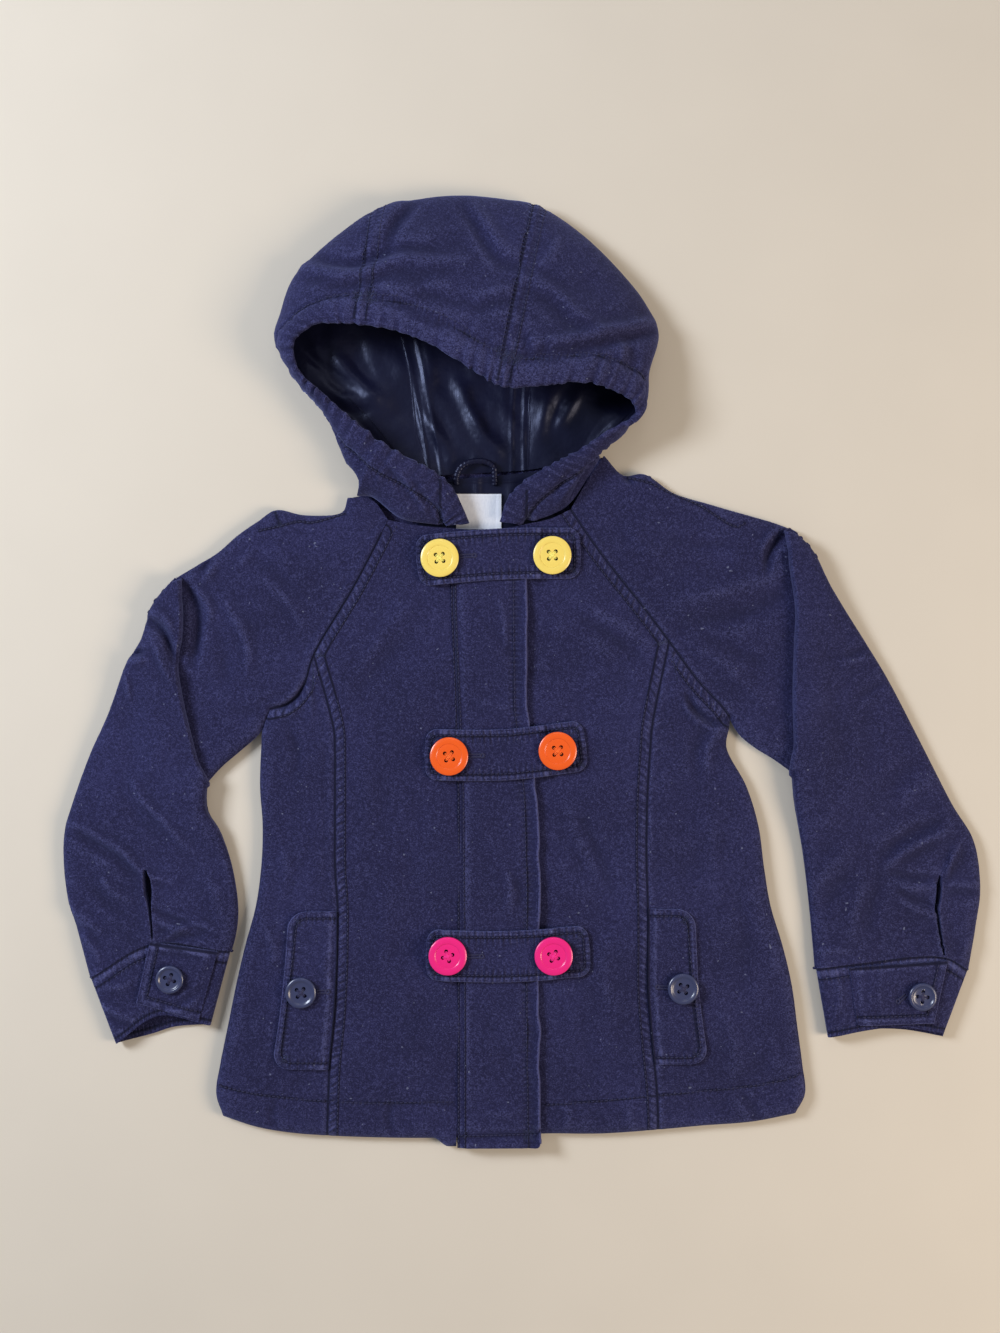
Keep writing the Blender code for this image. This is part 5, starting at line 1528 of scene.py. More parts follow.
# Each ring of a button's face, from its rim in: its radius as a share of the button's, and its height in mm
LARGE_FACE = ((0.93, 3.45), (0.86, 3.7), (0.70, 3.75), (0.66, 3.55), (0.635, 3.15), (0.60, 3.3), (0.40, 3.1))
SMALL_FACE = ((0.94, 3.55), (0.88, 3.8), (0.80, 3.7), (0.72, 2.9), (0.66, 2.6), (0.50, 2.45), (0.30, 2.4))
HOLE_PITCH = 5.4
HOLE_RADIUS = 1.45
BUTTON_SIDES = 64
BUTTON_THREAD = 0.42
THREAD_HIGH = {"large": 3.2, "pocket": 2.5, "cuff": 2.5}
BUTTON_TINTS = {"button_top": "yellow", "button_middle": "orange", "button_bottom": "pink"}
BUTTON_TURNS = (6, 2, 10, 4, -28, 20, 8, -12, 24, 40)  # degrees, in the order of BUTTONS
BUTTON_TIP = 1.2


def turned_button(size):
    """One button about its own middle, its back on the ground: a disc whose face is drawn in ring by ring."""
    radius = BUTTON_ACROSS[size] / 2
    face = LARGE_FACE if size == "large" else SMALL_FACE
    bpy.ops.object.select_all(action="DESELECT")
    bpy.ops.mesh.primitive_cylinder_add(vertices=BUTTON_SIDES, radius=radius * MM, depth=2.4 * MM,
                                        location=(0, 0, 1.9 * MM))
    button = bpy.context.object
    bpy.ops.object.mode_set(mode="EDIT")
    draw_in(button, 3.1, radius, face)
    draw_in(button, 0.7, radius, ((0.86, 0.15), (0.80, 0.0)), -1)
    bpy.ops.object.mode_set(mode="OBJECT")
    bpy.ops.object.transform_apply(location=True, rotation=False, scale=False)
    soften_edges(button, 0.28 * MM)
    pins = hole_pins(4 * BUTTON_HIGH)
    cut = button.modifiers.new("Holes", "BOOLEAN")
    cut.operation, cut.object, cut.solver = "DIFFERENCE", pins, "EXACT"
    chosen_only([button])
    bpy.ops.object.modifier_apply(modifier="Holes")
    bpy.data.objects.remove(pins)
    soften_edges(button, 0.12 * MM, 2)
    bpy.ops.object.shade_smooth_by_angle(angle=math.radians(40))
    return button


def draw_in(button, height, radius, rings, facing=1):
    """Insets the face that looks up, or down, ring by ring, and moves each ring to its height."""
    bpy.ops.mesh.select_mode(type="FACE")
    bpy.ops.mesh.select_all(action="DESELECT")
    bpy.ops.object.mode_set(mode="OBJECT")
    for polygon in button.data.polygons:
        polygon.select = polygon.normal.z * facing > 0.9
    bpy.ops.object.mode_set(mode="EDIT")
    reached, level = 1.0, height
    for share, high in rings:
        bpy.ops.mesh.inset(thickness=(reached - share) * radius * MM * math.cos(math.pi / BUTTON_SIDES))
        bpy.ops.transform.translate(value=(0, 0, (high - level) * MM))
        reached, level = share, high


def soften_edges(piece, width, segments=3):
    bevel = piece.modifiers.new("Soft edges", "BEVEL")
    bevel.width, bevel.segments = width, segments
    bevel.limit_method, bevel.angle_limit = "ANGLE", math.radians(35)
    chosen_only([piece])
    bpy.ops.object.modifier_apply(modifier="Soft edges")


def hole_pins(depth):
    """Four pins that cut a button's holes."""
    pins = []
    for x in (-1, 1):
        for y in (-1, 1):
            bpy.ops.object.select_all(action="DESELECT")
            bpy.ops.mesh.primitive_cylinder_add(
                vertices=20, radius=HOLE_RADIUS * MM, depth=depth * MM,
                location=(x * HOLE_PITCH / 2 * MM, y * HOLE_PITCH / 2 * MM, 0),
            )
            pins.append(bpy.context.object)
    chosen_only(pins)
    bpy.ops.object.transform_apply(location=True, rotation=False, scale=False)
    bpy.ops.object.join()
    return pins[0]


def make_buttons():
    """The ten buttons. Each size is modelled once, and a button is a turned and tipped copy of it."""
    made = []
    models = {size: turned_button(size) for size in BUTTON_ACROSS}
    for index, (name, (size, x, y)) in enumerate(BUTTONS.items()):
        low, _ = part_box(name)
        data = models[size].data.copy()
        points = np.empty(len(data.vertices) * 3, np.float32)
        data.vertices.foreach_get("co", points)
        turning = np.array(Matrix.Rotation(math.radians(BUTTON_TURNS[index]), 3, "Z"))
        heading = 2.4 * index
        tipping = np.eye(3)
        tipping[2, :2] = np.array([math.cos(heading), math.sin(heading)]) * math.tan(math.radians(BUTTON_TIP))
        place = (np.array([x, y, 0]) + MIDDLE) * MM + [0, 0, low.z + 0.1 * MM]
        points = points.reshape(-1, 3) @ (tipping @ turning).T + place
        data.vertices.foreach_set("co", points.astype(np.float32).ravel())
        finish, slot = button_finish(name)
        data.materials.clear()
        data.materials.append(finish)
        button = bpy.data.objects.new(f"{name}_turned", data)
        bpy.context.scene.collection.objects.link(button)
        made.append(owned(button, [name]))
        sewn_on(name, tipping @ turning, place / MM, size)
    for model in models.values():
        bpy.data.objects.remove(model)
    return made


def sewn_on(name, turning, place, size):
    """The threads that cross from hole to hole and hold a button."""
    lines = []
    for heading in (np.array([1, 1, 0]) / math.sqrt(2), np.array([1, -1, 0]) / math.sqrt(2)):
        for shift in (-BUTTON_THREAD, BUTTON_THREAD):
            middle = np.array([-heading[1] * shift, heading[0] * shift, THREAD_HIGH[size]])
            lines.append((middle - 0.75 * HOLE_PITCH * heading, middle + 0.75 * HOLE_PITCH * heading))
    points, faces = threads(lines, 1.5 * HOLE_PITCH, BUTTON_THREAD, 0)
    tint = next((tint for row, tint in BUTTON_TINTS.items() if name.startswith(row)), "thread")
    return new_piece(f"{name}_threads", points @ turning.T + place - MIDDLE, faces,
                     thread(f"{tint}_button_thread", colour(tint)), [])


# Stitches

STITCH_LIFT = 0.15
BUTTONHOLE_LIFT = 0.2
BUTTONHOLE_THREAD = 0.36
LAID_STEP = 1.5  # between the points of a line that is laid on cloth


def stitch_shape():
    """A short thread that dips into the cloth at both ends, one long and one thick: points and faces."""
    rings = ((-0.5, 0.35, -0.5), (-0.34, 0.85, 0.1), (0, 1.0, 0.35), (0.34, 0.85, 0.1), (0.5, 0.35, -0.5))
    turns = np.linspace(0, 2 * np.pi, 6, endpoint=False)
    points = [(x, wide * math.cos(turn), rise + wide * math.sin(turn))
              for x, wide, rise in rings for turn in turns]
    faces = [(at + side, at + (side + 1) % 6, at + (side + 1) % 6 + 6, at + side + 6)
             for at in range(0, 6 * len(rings) - 6, 6) for side in range(6)]
    ends = [(5, 4, 3, 2), (5, 2, 1, 0), (24, 25, 26, 27), (24, 27, 28, 29)]
    return np.array(points), np.array(faces + ends)


def threads(lines, long, thick, lift):
    """A thread from each line's first point to its last: all their points and faces."""
    shape, faces = stitch_shape()
    first, last = (np.array([line[end] for line in lines]) for end in (0, -1))
    heading = unit(last - first)
    side = unit(np.cross((0, 0, 1), heading))
    up = np.cross(heading, side)
    middle = (first + last) / 2 + up * lift
    points = (middle[:, None] + heading[:, None] * (shape[:, 0] * long)[..., None]
              + side[:, None] * (shape[:, 1:2] * thick) + up[:, None] * (shape[:, 2:] * thick))
    faces = faces[None] + (np.arange(len(lines)) * len(shape))[:, None, None]
    return points.reshape(-1, 3), faces.reshape(-1, 4)


def sewn(name, lines):
    """One mesh of all the stitches along these lines of points on the cloth."""
    sizes = bpy.context.scene.coat_sizes
    long, gap, thick = sizes.stitch / MM, sizes.stitch_gap / MM, sizes.thread / MM / 2
    stitches = []
    for line in lines:
        run = run_length(line)
        count = int(run[-1] / (long + gap))
        if count < 1:
            continue
        starts = (np.arange(count) + 0.1) * (run[-1] / count)
        stitches += zip(*(np.stack([np.interp(at, run, column) for column in line.T], axis=-1)
                          for at in (starts, starts + long)))
    points, faces = threads(stitches, long, thick, STITCH_LIFT)
    return new_piece(name, points, faces, thread("navy_thread", colour("thread")), [])


def laid_on(piece, lines):
    """The lines of x, y points, at the height of the piece's outer side."""
    data = piece.data
    count = len(data.vertices)
    points = np.empty(count * 3, np.float32)
    data.vertices.foreach_get("co", points)
    points = points.reshape(-1, 3)[: count // 2] / MM - MIDDLE
    tree = KDTree(len(points))
    for index, (x, y, _) in enumerate(points):
        tree.insert((x, y, 0), index)
    tree.balance()
    laid = []
    for line in lines:
        long = run_length(np.asarray(line, float))[-1]
        line = along(line, np.linspace(0, 1, max(3, int(long / LAID_STEP))))
        high = [max(points[index][2] for _, index, _ in tree.find_n((x, y, 0), 2)) for x, y in line]
        laid.append(np.column_stack([line, high]))
    return laid


# Materials


class Link:
    """A value that nodes work out. Arithmetic on it adds Math nodes."""

    def __init__(self, finish, socket):
        self.finish, self.socket = finish, socket

    def math(self, operation, first, second=0.0):
        return self.finish.node("ShaderNodeMath", {"operation": operation}, {0: first, 1: second})

    def __add__(self, other):
        return self.math("ADD", self, other)

    def __radd__(self, other):
        return self.math("ADD", other, self)

    def __sub__(self, other):
        return self.math("SUBTRACT", self, other)

    def __rsub__(self, other):
        return self.math("SUBTRACT", other, self)

    def __mul__(self, other):
        return self.math("MULTIPLY", self, other)

    def __truediv__(self, other):
        return self.math("DIVIDE", self, other)

    def __abs__(self):
        return self.math("ABSOLUTE", self)

    def sine(self):
        return self.math("SINE", self)

    def most(self, other):
        return self.math("MAXIMUM", self, other)

    def least(self, other):
        return self.math("MINIMUM", self, other)

    def rising(self, low, high):
        """0 below low, 1 above high, and smooth between them. low may be the greater one."""
        falling = float(low > high)
        ends = {0: self, 1: min(low, high), 2: max(low, high), 3: falling, 4: 1.0 - falling}
        return self.finish.node("ShaderNodeMapRange", {"interpolation_type": "SMOOTHSTEP"}, ends)


class Finish:
    """A material being built, around one Principled shader."""

    def __init__(self, name):
        self.material = bpy.data.materials.new(name)
        self.material.use_nodes = True
        self.tree = self.material.node_tree
        self.shader = self.tree.nodes["Principled BSDF"]
        self.place = self.node("ShaderNodeTexCoord", output="Object")

    def node(self, kind, settings=(), inputs=(), output=0):
        """Adds a node with its settings, and the values or links of its sockets."""
        made = self.tree.nodes.new(kind)
        for name, value in dict(settings).items():
            setattr(made, name, value)
        for name, value in dict(inputs).items():
            self.feed(made.inputs[name], value)
        return Link(self, made.outputs[output])

    def feed(self, socket, value):
        if isinstance(value, Link):
            self.tree.links.new(value.socket, socket)
        else:
            socket.default_value = value

    def noise(self, size, detail=2.0, place=None, rough=0.5):
        """Noise from 0 to 1 whose blotches are about size millimetres across."""
        return self.node("ShaderNodeTexNoise", {}, {"Vector": place or self.place, "Scale": 0.7 / (size * MM),
                                                    "Detail": detail, "Roughness": rough})

    def stretched(self, across, along_it, high):
        """The place stretched, for streaks."""
        return self.node("ShaderNodeMapping", {}, {"Vector": self.place, "Scale": (across, along_it, high)})

    def mark(self, name):
        """The three numbers of one of the cloth's marks."""
        both = self.node("ShaderNodeAttribute", {"attribute_name": name}, output="Vector")
        parts = self.node("ShaderNodeSeparateXYZ", inputs={0: both}).socket.node
        return [Link(self, part) for part in parts.outputs]

    def mixed(self, share, first, second):
        """The first colour, turning to the second by this share."""
        return self.node("ShaderNodeMix", {"data_type": "RGBA"}, {0: share, 6: first, 7: second}, output=2)

    def bumped(self, height):
        """The normal of a surface whose relief is given in millimetres."""
        return self.node("ShaderNodeBump", {}, {"Height": height, "Distance": MM, "Strength": 1.0})

    def done(self, **inputs):
        """Sets the shader's sockets, which are named with spaces as underlines."""
        for name, value in inputs.items():
            self.feed(self.shader.inputs[name.replace("_", " ")], value)
        return self.material


PUCKER_PITCH = 6.3  # between the puckers of a topstitched seam
RIB_PITCH = 4.4  # between the ribs beside a single row of stitches
RIB_HIGH = 0.62
# How far off a mark begins and how far off it is full
SEAM_GROOVE = (1.5, 0.2)
TOPSTITCH_GROOVE = (1.4, 0.3)
STITCH_GROOVE = (1.7, 0.5)
PUCKERS_FROM = (0.6, 2.4)
PUCKERS_TO = (8.2, 6.2)
PUCKERS_FADE = (19.0, 7.0)
GRAIN = 0.95  # how much lighter and darker the nap's tufts are
LINT_SIZE = 1.8
LINT_OVER = (0.84, 0.87)  # the noise that is left as specks


def colour(name):
    return (*getattr(bpy.context.scene.coat_colours, name), 1.0)


def made_once(build):
    """Builds a material the first time that it is asked for, under the function's name or the one given."""
    def finish(name=build.__name__, *tint):
        return bpy.data.materials.get(name) or build(name, *tint)

    return finish


def sewn_cotton(cloth, blotch):
    """What sewing does to the cotton: its puckers and ribs in millimetres, and from 0 to 1 its grooves at a
    seam, at the topstitching and at a single row of stitches."""
    seam_away, seam_run, band = cloth.mark("seam")
    away, run, reach = cloth.mark("stitch")
    drift = cloth.noise(19, 1)
    groove = seam_away.rising(*SEAM_GROOVE)
    topstitch = abs(seam_away - TOPSTITCH).rising(*TOPSTITCH_GROOVE) * band
    in_band = seam_away.rising(*PUCKERS_FROM) * seam_away.rising(*PUCKERS_TO) * band
    beyond = seam_away.rising(*PUCKERS_FADE) * (blotch * 3 - 1).most(0.0).least(1.0) * 0.5
    slope = seam_run * (2 * math.pi / PUCKER_PITCH) + seam_away * 0.6 + drift * 9
    puckers = slope.sine() * 0.5 + (slope * 1.9 + blotch * 6).sine() * 0.3
    single = away.rising(*STITCH_GROOVE)
    beside_stitch = (1 - away / reach.most(0.01)).most(0.0)
    slope = run * (2 * math.pi / RIB_PITCH) + drift * 7
    ribs_high = (slope.sine() * 0.55 + (slope * 1.7 + blotch * 5).sine() * 0.3) * beside_stitch
    puckers_high = puckers * (in_band + beyond) * bpy.context.scene.coat_sizes.pucker * 1000
    return puckers_high + ribs_high * RIB_HIGH, groove, topstitch, single


@made_once
def brushed_cotton(name):
    """Brushed navy cotton: a short matt nap, lighter on its ridges for wear and a painted highlight, with
    painted shade in its hollows and pucker troughs, puckered where it is sewn.
    """
    cloth = Finish(name)
    # Above 0 on ridges and edges: the nap's wear and a painted highlight; below 0 in hollows: painted shade.
    worn = cloth.node("ShaderNodeAttribute", {"attribute_name": "worn"}, output="Fac")
    nap, fine, blotch, cloud = cloth.noise(1.5, 3), cloth.noise(0.6, 1), cloth.noise(7, 2), cloth.noise(45, 2)
    sewn_relief, groove, topstitch, single = sewn_cotton(cloth, blotch)
    relief_height = (sewn_relief - groove * 0.5 - topstitch * 0.45 - single * 0.4
                     + nap * 0.32 + fine * 0.24 + blotch * 0.2)
    tone = (cloud * 1.3 + nap * 0.6 + fine * 0.7 + blotch * 0.3 - 1.15).rising(0.0, 1.0)
    base = cloth.mixed(tone, colour("cotton_deep"), colour("cotton"))
    grain = (nap + fine * 1.6 - 1.3) * GRAIN
    # Painted lighter: ridges and edges for wear and a painted highlight, the crests of puckers and ribs as a
    # painted highlight, and the nap's own grain.
    bright = (worn.most(0.0) * 1.1 + (sewn_relief * 0.9).most(0.0) + grain).most(0.0).least(0.85)
    base = cloth.mixed(bright, base, colour("cotton_brushed"))
    # Painted darker: the seam and stitch lines, painted shade in hollows and in the troughs of puckers and
    # ribs, and the nap's own grain.
    dark = (groove * 0.95).most(topstitch * 0.95).most(single * 0.9).most((0 - worn) * 0.35)
    dark = dark.most((0 - sewn_relief) * 1.5).most((0 - grain) * 1.1).most(0.0).least(0.95)
    base = cloth.mixed(dark, base, colour("cotton_shaded"))
    specks = cloth.noise(LINT_SIZE, 0).rising(*LINT_OVER) * 0.4
    base = cloth.mixed(specks, base, colour("lint"))
    return cloth.done(Base_Color=base, Roughness=0.86 + nap * 0.12, Normal=cloth.bumped(relief_height),
                      Sheen_Weight=0.35, Sheen_Roughness=0.45, Sheen_Tint=(0.35, 0.40, 0.85, 1.0),
                      Specular_IOR_Level=0.15)


@made_once
def lining_satin(name):
    """The glossy lining, with a faint weave."""
    cloth = Finish(name)
    away, _, _ = cloth.mark("stitch")
    blotch, weave = cloth.noise(14, 2), cloth.noise(0.9, 2, cloth.stretched(1.0, 0.3, 1.0))
    seam = away.rising(1.1, 0.1)
    base = cloth.mixed(blotch, colour("satin"), colour("satin_light"))
    base = cloth.mixed(seam * 0.8, base, colour("cotton_shaded"))
    height = cloth.noise(9, 2) * 0.8 + weave * 0.06 - seam * 0.12
    return cloth.done(Base_Color=base, Roughness=0.30 + weave * 0.14, Normal=cloth.bumped(height),
                      Specular_IOR_Level=0.34, Specular_Tint=(0.62, 0.68, 1.0, 1.0))


@made_once
def woven_label(name):
    """A bare white woven label."""
    cloth = Finish(name)
    away, _, _ = cloth.mark("stitch")
    weave = cloth.noise(0.7, 2, cloth.stretched(1.0, 0.35, 1.0))
    base = cloth.mixed(weave, colour("label"), (0.62, 0.64, 0.72, 1.0))
    base = cloth.mixed(away.rising(0.6, 0.2) * 0.7, base, (0.35, 0.37, 0.48, 1.0))
    return cloth.done(Base_Color=base, Roughness=0.36 + weave * 0.2, Normal=cloth.bumped(weave * 0.15))


@made_once
def button_plastic(name, tint):
    """Polished button plastic with a faint cloudy tone."""
    plastic = Finish(name)
    cloud = plastic.noise(9, 1)
    base = plastic.mixed(cloud * 0.35, tint, tuple(0.82 * part for part in tint[:3]) + (1.0,))
    return plastic.done(Base_Color=base, Roughness=0.26 + cloud * 0.05, Coat_Weight=0.25, Coat_Roughness=0.2,
                        Specular_IOR_Level=0.5, Normal=plastic.bumped(plastic.noise(5, 1) * 0.05))


@made_once
def thread(name, tint):
    """Twisted sewing thread."""
    cord = Finish(name)
    twist = cord.noise(0.5, 2, cord.stretched(1.0, 0.5, 1.0))
    base = cord.mixed(twist, tint, tuple(min(1.0, 1.7 * part) for part in tint[:3]) + (1.0,))
    return cord.done(Base_Color=base, Roughness=0.55 + twist * 0.2, Normal=cord.bumped(twist * 0.08))


def button_finish(name):
    """A button's material and a name for its slot."""
    for row, tint in BUTTON_TINTS.items():
        if name.startswith(row):
            return button_plastic(f"{tint}_plastic_polished", colour(tint)), f"{tint}_plastic"
    return button_plastic("navy_plastic_polished", colour("navy_button")), "navy_plastic"


# The stage

FLOOR_LEVEL = -0.0013  # just under the lowest cloth
LENS = 45.0
SKY = 0.26
LIGHTS = (
    # name, colour, place, watts, size
    ("cool window light", (0.80, 0.88, 1.0), (-1.45, 0.6, 1.2), 38, 0.6),
    ("warm room light", (1.0, 0.84, 0.66), (1.55, -0.5, 1.15), 27, 0.8),
    ("soft top light", (1.0, 0.98, 0.95), (0.1, 1.4, 1.7), 2.5, 0.8),
)


def make_stage():
    """A plain pale floor, soft light from both sides, and the camera straight above the chest."""
    bpy.ops.object.select_all(action="DESELECT")
    bpy.ops.mesh.primitive_plane_add(size=6, location=(0, 0, FLOOR_LEVEL))
    floor = bpy.context.object
    floor.name = "floor"
    bpy.ops.object.transform_apply(location=True, rotation=False, scale=False)
    carpet = Finish("pale_floor")
    base = carpet.mixed(carpet.noise(60, 2), colour("floor"), tuple(0.95 * part for part in colour("floor")))
    floor.data.materials.append(carpet.done(Base_Color=base, Roughness=0.9, Specular_IOR_Level=0.1))
    for name, tint, place, power, size in LIGHTS:
        lamp = bpy.data.lights.new(name, "AREA")
        lamp.color, lamp.energy, lamp.size = tint, power, size
        made = bpy.data.objects.new(name, lamp)
        made.location = place
        made.rotation_euler = (Vector((0, 0, 0)) - Vector(place)).to_track_quat("-Z", "Y").to_euler()
        made.visible_camera = False
        bpy.context.scene.collection.objects.link(made)
    world = bpy.data.worlds.new("soft_sky")
    world.use_nodes = True
    world.node_tree.nodes["Background"].inputs["Color"].default_value = (0.93, 0.95, 1.0, 1.0)
    world.node_tree.nodes["Background"].inputs["Strength"].default_value = SKY
    bpy.context.scene.world = world
    camera = bpy.data.cameras.new("camera")
    camera.sensor_fit, camera.sensor_width, camera.sensor_height, camera.lens = "AUTO", 36, 36, LENS
    camera.clip_start = 0.05
    made = bpy.data.objects.new("camera", camera)
    made.location = (MIDDLE[0] * MM, MIDDLE[1] * MM, CAMERA_HIGH * MM)
    bpy.context.scene.collection.objects.link(made)
    bpy.context.scene.camera = made
    bpy.context.scene.view_settings.view_transform = "Standard"


# Stitching


def tab_loop(middle):
    """The row of stitches round a tab, a little inside its edge."""
    line = smooth(middle)
    length = run_length(line)[-1]
    long, wide, corner = length / 2 - TAB_STITCH, TAB_WIDTH / 2 - TAB_STITCH, TAB_CORNER - TAB_STITCH
    turn = np.linspace(0, 2 * np.pi, 49)
    heading = np.column_stack([np.cos(turn), np.sin(turn)])
    loop = np.sign(heading) * (abs(heading) > 1e-9) * [long - corner, wide - corner] + corner * heading
    centre = along(line, 0.5 + loop[:, 0] / length)
    ahead = along(line, np.clip(0.5 + (loop[:, 0] + 1) / length, 0, 1))
    behind = along(line, np.clip(0.5 + (loop[:, 0] - 1) / length, 0, 1))
    return centre + loop[:, 1:] * leftward(unit(ahead - behind))


def flap_loop(side, outward):
    """The row of stitches round a flap's three free edges."""
    flap, line = FLAPS[f"{side}_flap"], PRINCESS_LINE[side][::-1]
    corner = FLAP_CORNER - FLAP_STITCH
    halves = []
    for end, down in (("top", -1), ("bottom", 1)):
        level = flap[end] + down * FLAP_STITCH
        seam, wide = np.interp(level, line[:, 1], line[:, 0]), flap[f"wide_{end}"] - FLAP_STITCH
        half = [(seam + outward * 2, level)]
        for turn in np.radians(np.arange(0, 91, 15)):
            half.append((seam + outward * (wide - corner * (1 - math.sin(turn))),
                         level + down * corner * (1 - math.cos(turn))))
        halves.append(half)
    return np.array(halves[0] + halves[1][::-1])


BUTTONHOLES = (
    # piece, the line from the button out to the eye
    ("tab_top", (-30.0, 82.5), (-20.5, 83.0)),
    ("tab_middle", (-23.5, -66.5), (-14.5, -66.5)),
    ("tab_bottom", (-24.5, -216.5), (-15.0, -216.5)),
    ("right_flap", (-137.0, -243.5), (-130.5, -243.5)),
    ("left_flap", (125.5, -240.5), (119.0, -240.0)),
    ("left_cuff_end", (303.5, -246.0), (299.0, -250.0)),
)


def buttonhole_lines(start, end):
    """Short stitches side by side along both lips of a buttonhole and round its eye."""
    start, end = np.array(start), np.array(end)
    heading = (end - start) / np.linalg.norm(end - start)
    side = np.array([-heading[1], heading[0]])
    lines = []
    for run in np.arange(0, np.linalg.norm(end - start), 0.75):
        at = start + heading * run
        lines += [np.array([at + side * lip * 0.25, at + side * lip * 1.75]) for lip in (1, -1)]
    eye = end + heading * 1.2
    for turn in np.radians(np.arange(0, 360, 24)):
        spoke = heading * math.cos(turn) + side * math.sin(turn)
        lines.append(np.array([eye + spoke * 0.7, eye + spoke * 2.2]))
    return lines


def make_stitching():
    """All the rows of stitching, laid on the finished sheets, and the buttonholes."""
    rows = {}
    for side, outward in OUTWARD.items():
        princess = sideways(PRINCESS_LINE[side], -outward * TOPSTITCH)
        raglan = sideways(RAGLAN_LINE[side], outward * TOPSTITCH)
        split = int(np.argmin(np.linalg.norm(RAGLAN_LINE[side] - np.array(PRINCESS_TOP[side]), axis=1)))
        hem = smooth(HEM_STITCH[side], 6)
        rows[f"{side}_front"] = [princess[6:], raglan[split + 3 :], hem_part(hem, side, True)]
        rows[f"{side}_side_front"] = [raglan[4 : split - 2], hem_part(hem, side, False)]
        rows[f"{side}_sleeve_upper"] = [smooth(SHOULDER_STITCH[side], 6)]
        seam = SLEEVE_LINE[side]["cuff_seam"]
        edge = along(SLEEVE_LINE[side]["cuff_edge"], run_length(seam) / run_length(seam)[-1])
        rows[f"{side}_cuff"] = [(seam + (edge - seam) * (CUFF_STITCH / CUFF_DEEP))[2:-2]]
        rows[f"{side}_flap"] = [flap_loop(side, outward)]
        rows[f"{side}_cuff_end"] = [cuff_end_line(SLEEVE_LINE[side]["cuff_end"])]
    rows["placket"] = placket_lines()[2]
    for name, middle in TABS.items():
        rows[name] = [tab_loop(middle)]
    sewn("body_stitches", [line for name, on_it in rows.items() for line in laid_on(made_piece(name), on_it)])
    lips = [line for name, start, end in BUTTONHOLES
            for line in laid_on(made_piece(name), buttonhole_lines(start, end))]
    lengths = np.array([[np.linalg.norm(line[-1] - line[0])] for line in lips])
    points, faces = threads(lips, lengths, BUTTONHOLE_THREAD, BUTTONHOLE_LIFT)
    finish = thread("buttonhole_thread", colour("thread"))
    new_piece("buttonhole_threads", points, faces, finish, [])


def made_piece(name):
    """The sheet made in place of a CAD node, which keeps its own name."""
    return bpy.data.objects[f"{name}_cloth"]


def hem_part(line, side, centre):
    """The part of a hem line on the centre front, or on the side front."""
    seam = np.interp(line[:, 1], PRINCESS_LINE[side][::-1, 1], PRINCESS_LINE[side][::-1, 0])
    on_centre = (line[:, 0] > seam) if side == "right" else (line[:, 0] < seam)
    return line[on_centre == centre]


def cuff_end_line(corners):
    """The row of stitches inside the free edge and the bottom edge of a cuff's end."""
    low_left, top_left, _, low_right = corners
    across = (low_right - low_left) / np.linalg.norm(low_right - low_left)
    up = (top_left - low_left) / np.linalg.norm(top_left - low_left)
    inside = CUFF_END_STITCH
    return np.array([top_left + across * inside - up * 2, low_left + (across + up) * inside,
                     low_right - across * 2 + up * inside])


# What a user may change


def length_property(name, description, default, least, most):
    return bpy.props.FloatProperty(name=name, description=description, default=default, min=least, max=most,
                                   unit="LENGTH")


class CoatSizes(bpy.types.PropertyGroup):
    cell: length_property("Cloth grid", "Spacing of the points that a sheet is made of", 0.0023, 0.001, 0.01)
    creases: bpy.props.FloatProperty(
        name="Creases", description="Depth of the creases as a share of the real depth",
        default=1.0, min=0.0, max=2.0, subtype="FACTOR")
    seam_depth: length_property("Seam depth", "How far a seam pulls the cloth down", 0.0007, 0.0, 0.003)
    pucker: length_property("Puckers", "Height of the puckers beside a seam", 0.0004, 0.0, 0.002)
    stitch: length_property("Stitch", "Length of one stitch", 0.0025, 0.001, 0.006)
    stitch_gap: length_property("Stitch gap", "Cloth between two stitches", 0.0008, 0.0, 0.004)
    thread: length_property("Thread", "Thickness of the thread", 0.0007, 0.0002, 0.002)


def colour_property(name, description, default):
    return bpy.props.FloatVectorProperty(name=name, description=description, default=default, size=3, min=0.0,
                                         max=1.0, subtype="COLOR")


class CoatColours(bpy.types.PropertyGroup):
    cotton: colour_property("Cotton", "The brushed cotton", (0.0225, 0.0225, 0.0800))
    cotton_deep: colour_property("Deep cotton", "Cotton where its nap lies flat", (0.0135, 0.0130, 0.0480))
    # The colour painted on ridges and edges, partly the nap's wear and partly a painted highlight.
    cotton_brushed: colour_property("Brushed cotton", "The nap on ridges and edges", (0.0750, 0.0790, 0.1950))
    # The colour of the seam lines, and of the painted shade in hollows, pucker troughs and the slits.
    cotton_shaded: colour_property("Shaded cotton", "The cotton down in the seams", (0.0050, 0.0050, 0.0170))
    lint: colour_property("Lint", "Specks of lint", (0.22, 0.24, 0.36))
    satin: colour_property("Satin", "The lining", (0.0035, 0.0040, 0.0150))
    satin_light: colour_property("Light satin", "The lining's paler threads", (0.0070, 0.0080, 0.0260))
    thread: colour_property("Thread", "The sewing thread", (0.0140, 0.0140, 0.0520))
    yellow: colour_property("Yellow", "The top buttons", (0.88, 0.66, 0.14))
    orange: colour_property("Orange", "The middle buttons", (0.85, 0.105, 0.006))
    pink: colour_property("Pink", "The bottom buttons", (0.83, 0.012, 0.20))
    navy_button: colour_property("Navy button", "The buttons of the flaps and cuffs", (0.035, 0.042, 0.105))
    label: colour_property("Label", "The bare label", (0.80, 0.81, 0.86))
    floor: colour_property("Floor", "The floor", (0.64, 0.578, 0.49))


def sheet_step():
    return bpy.context.scene.coat_sizes.cell / MM


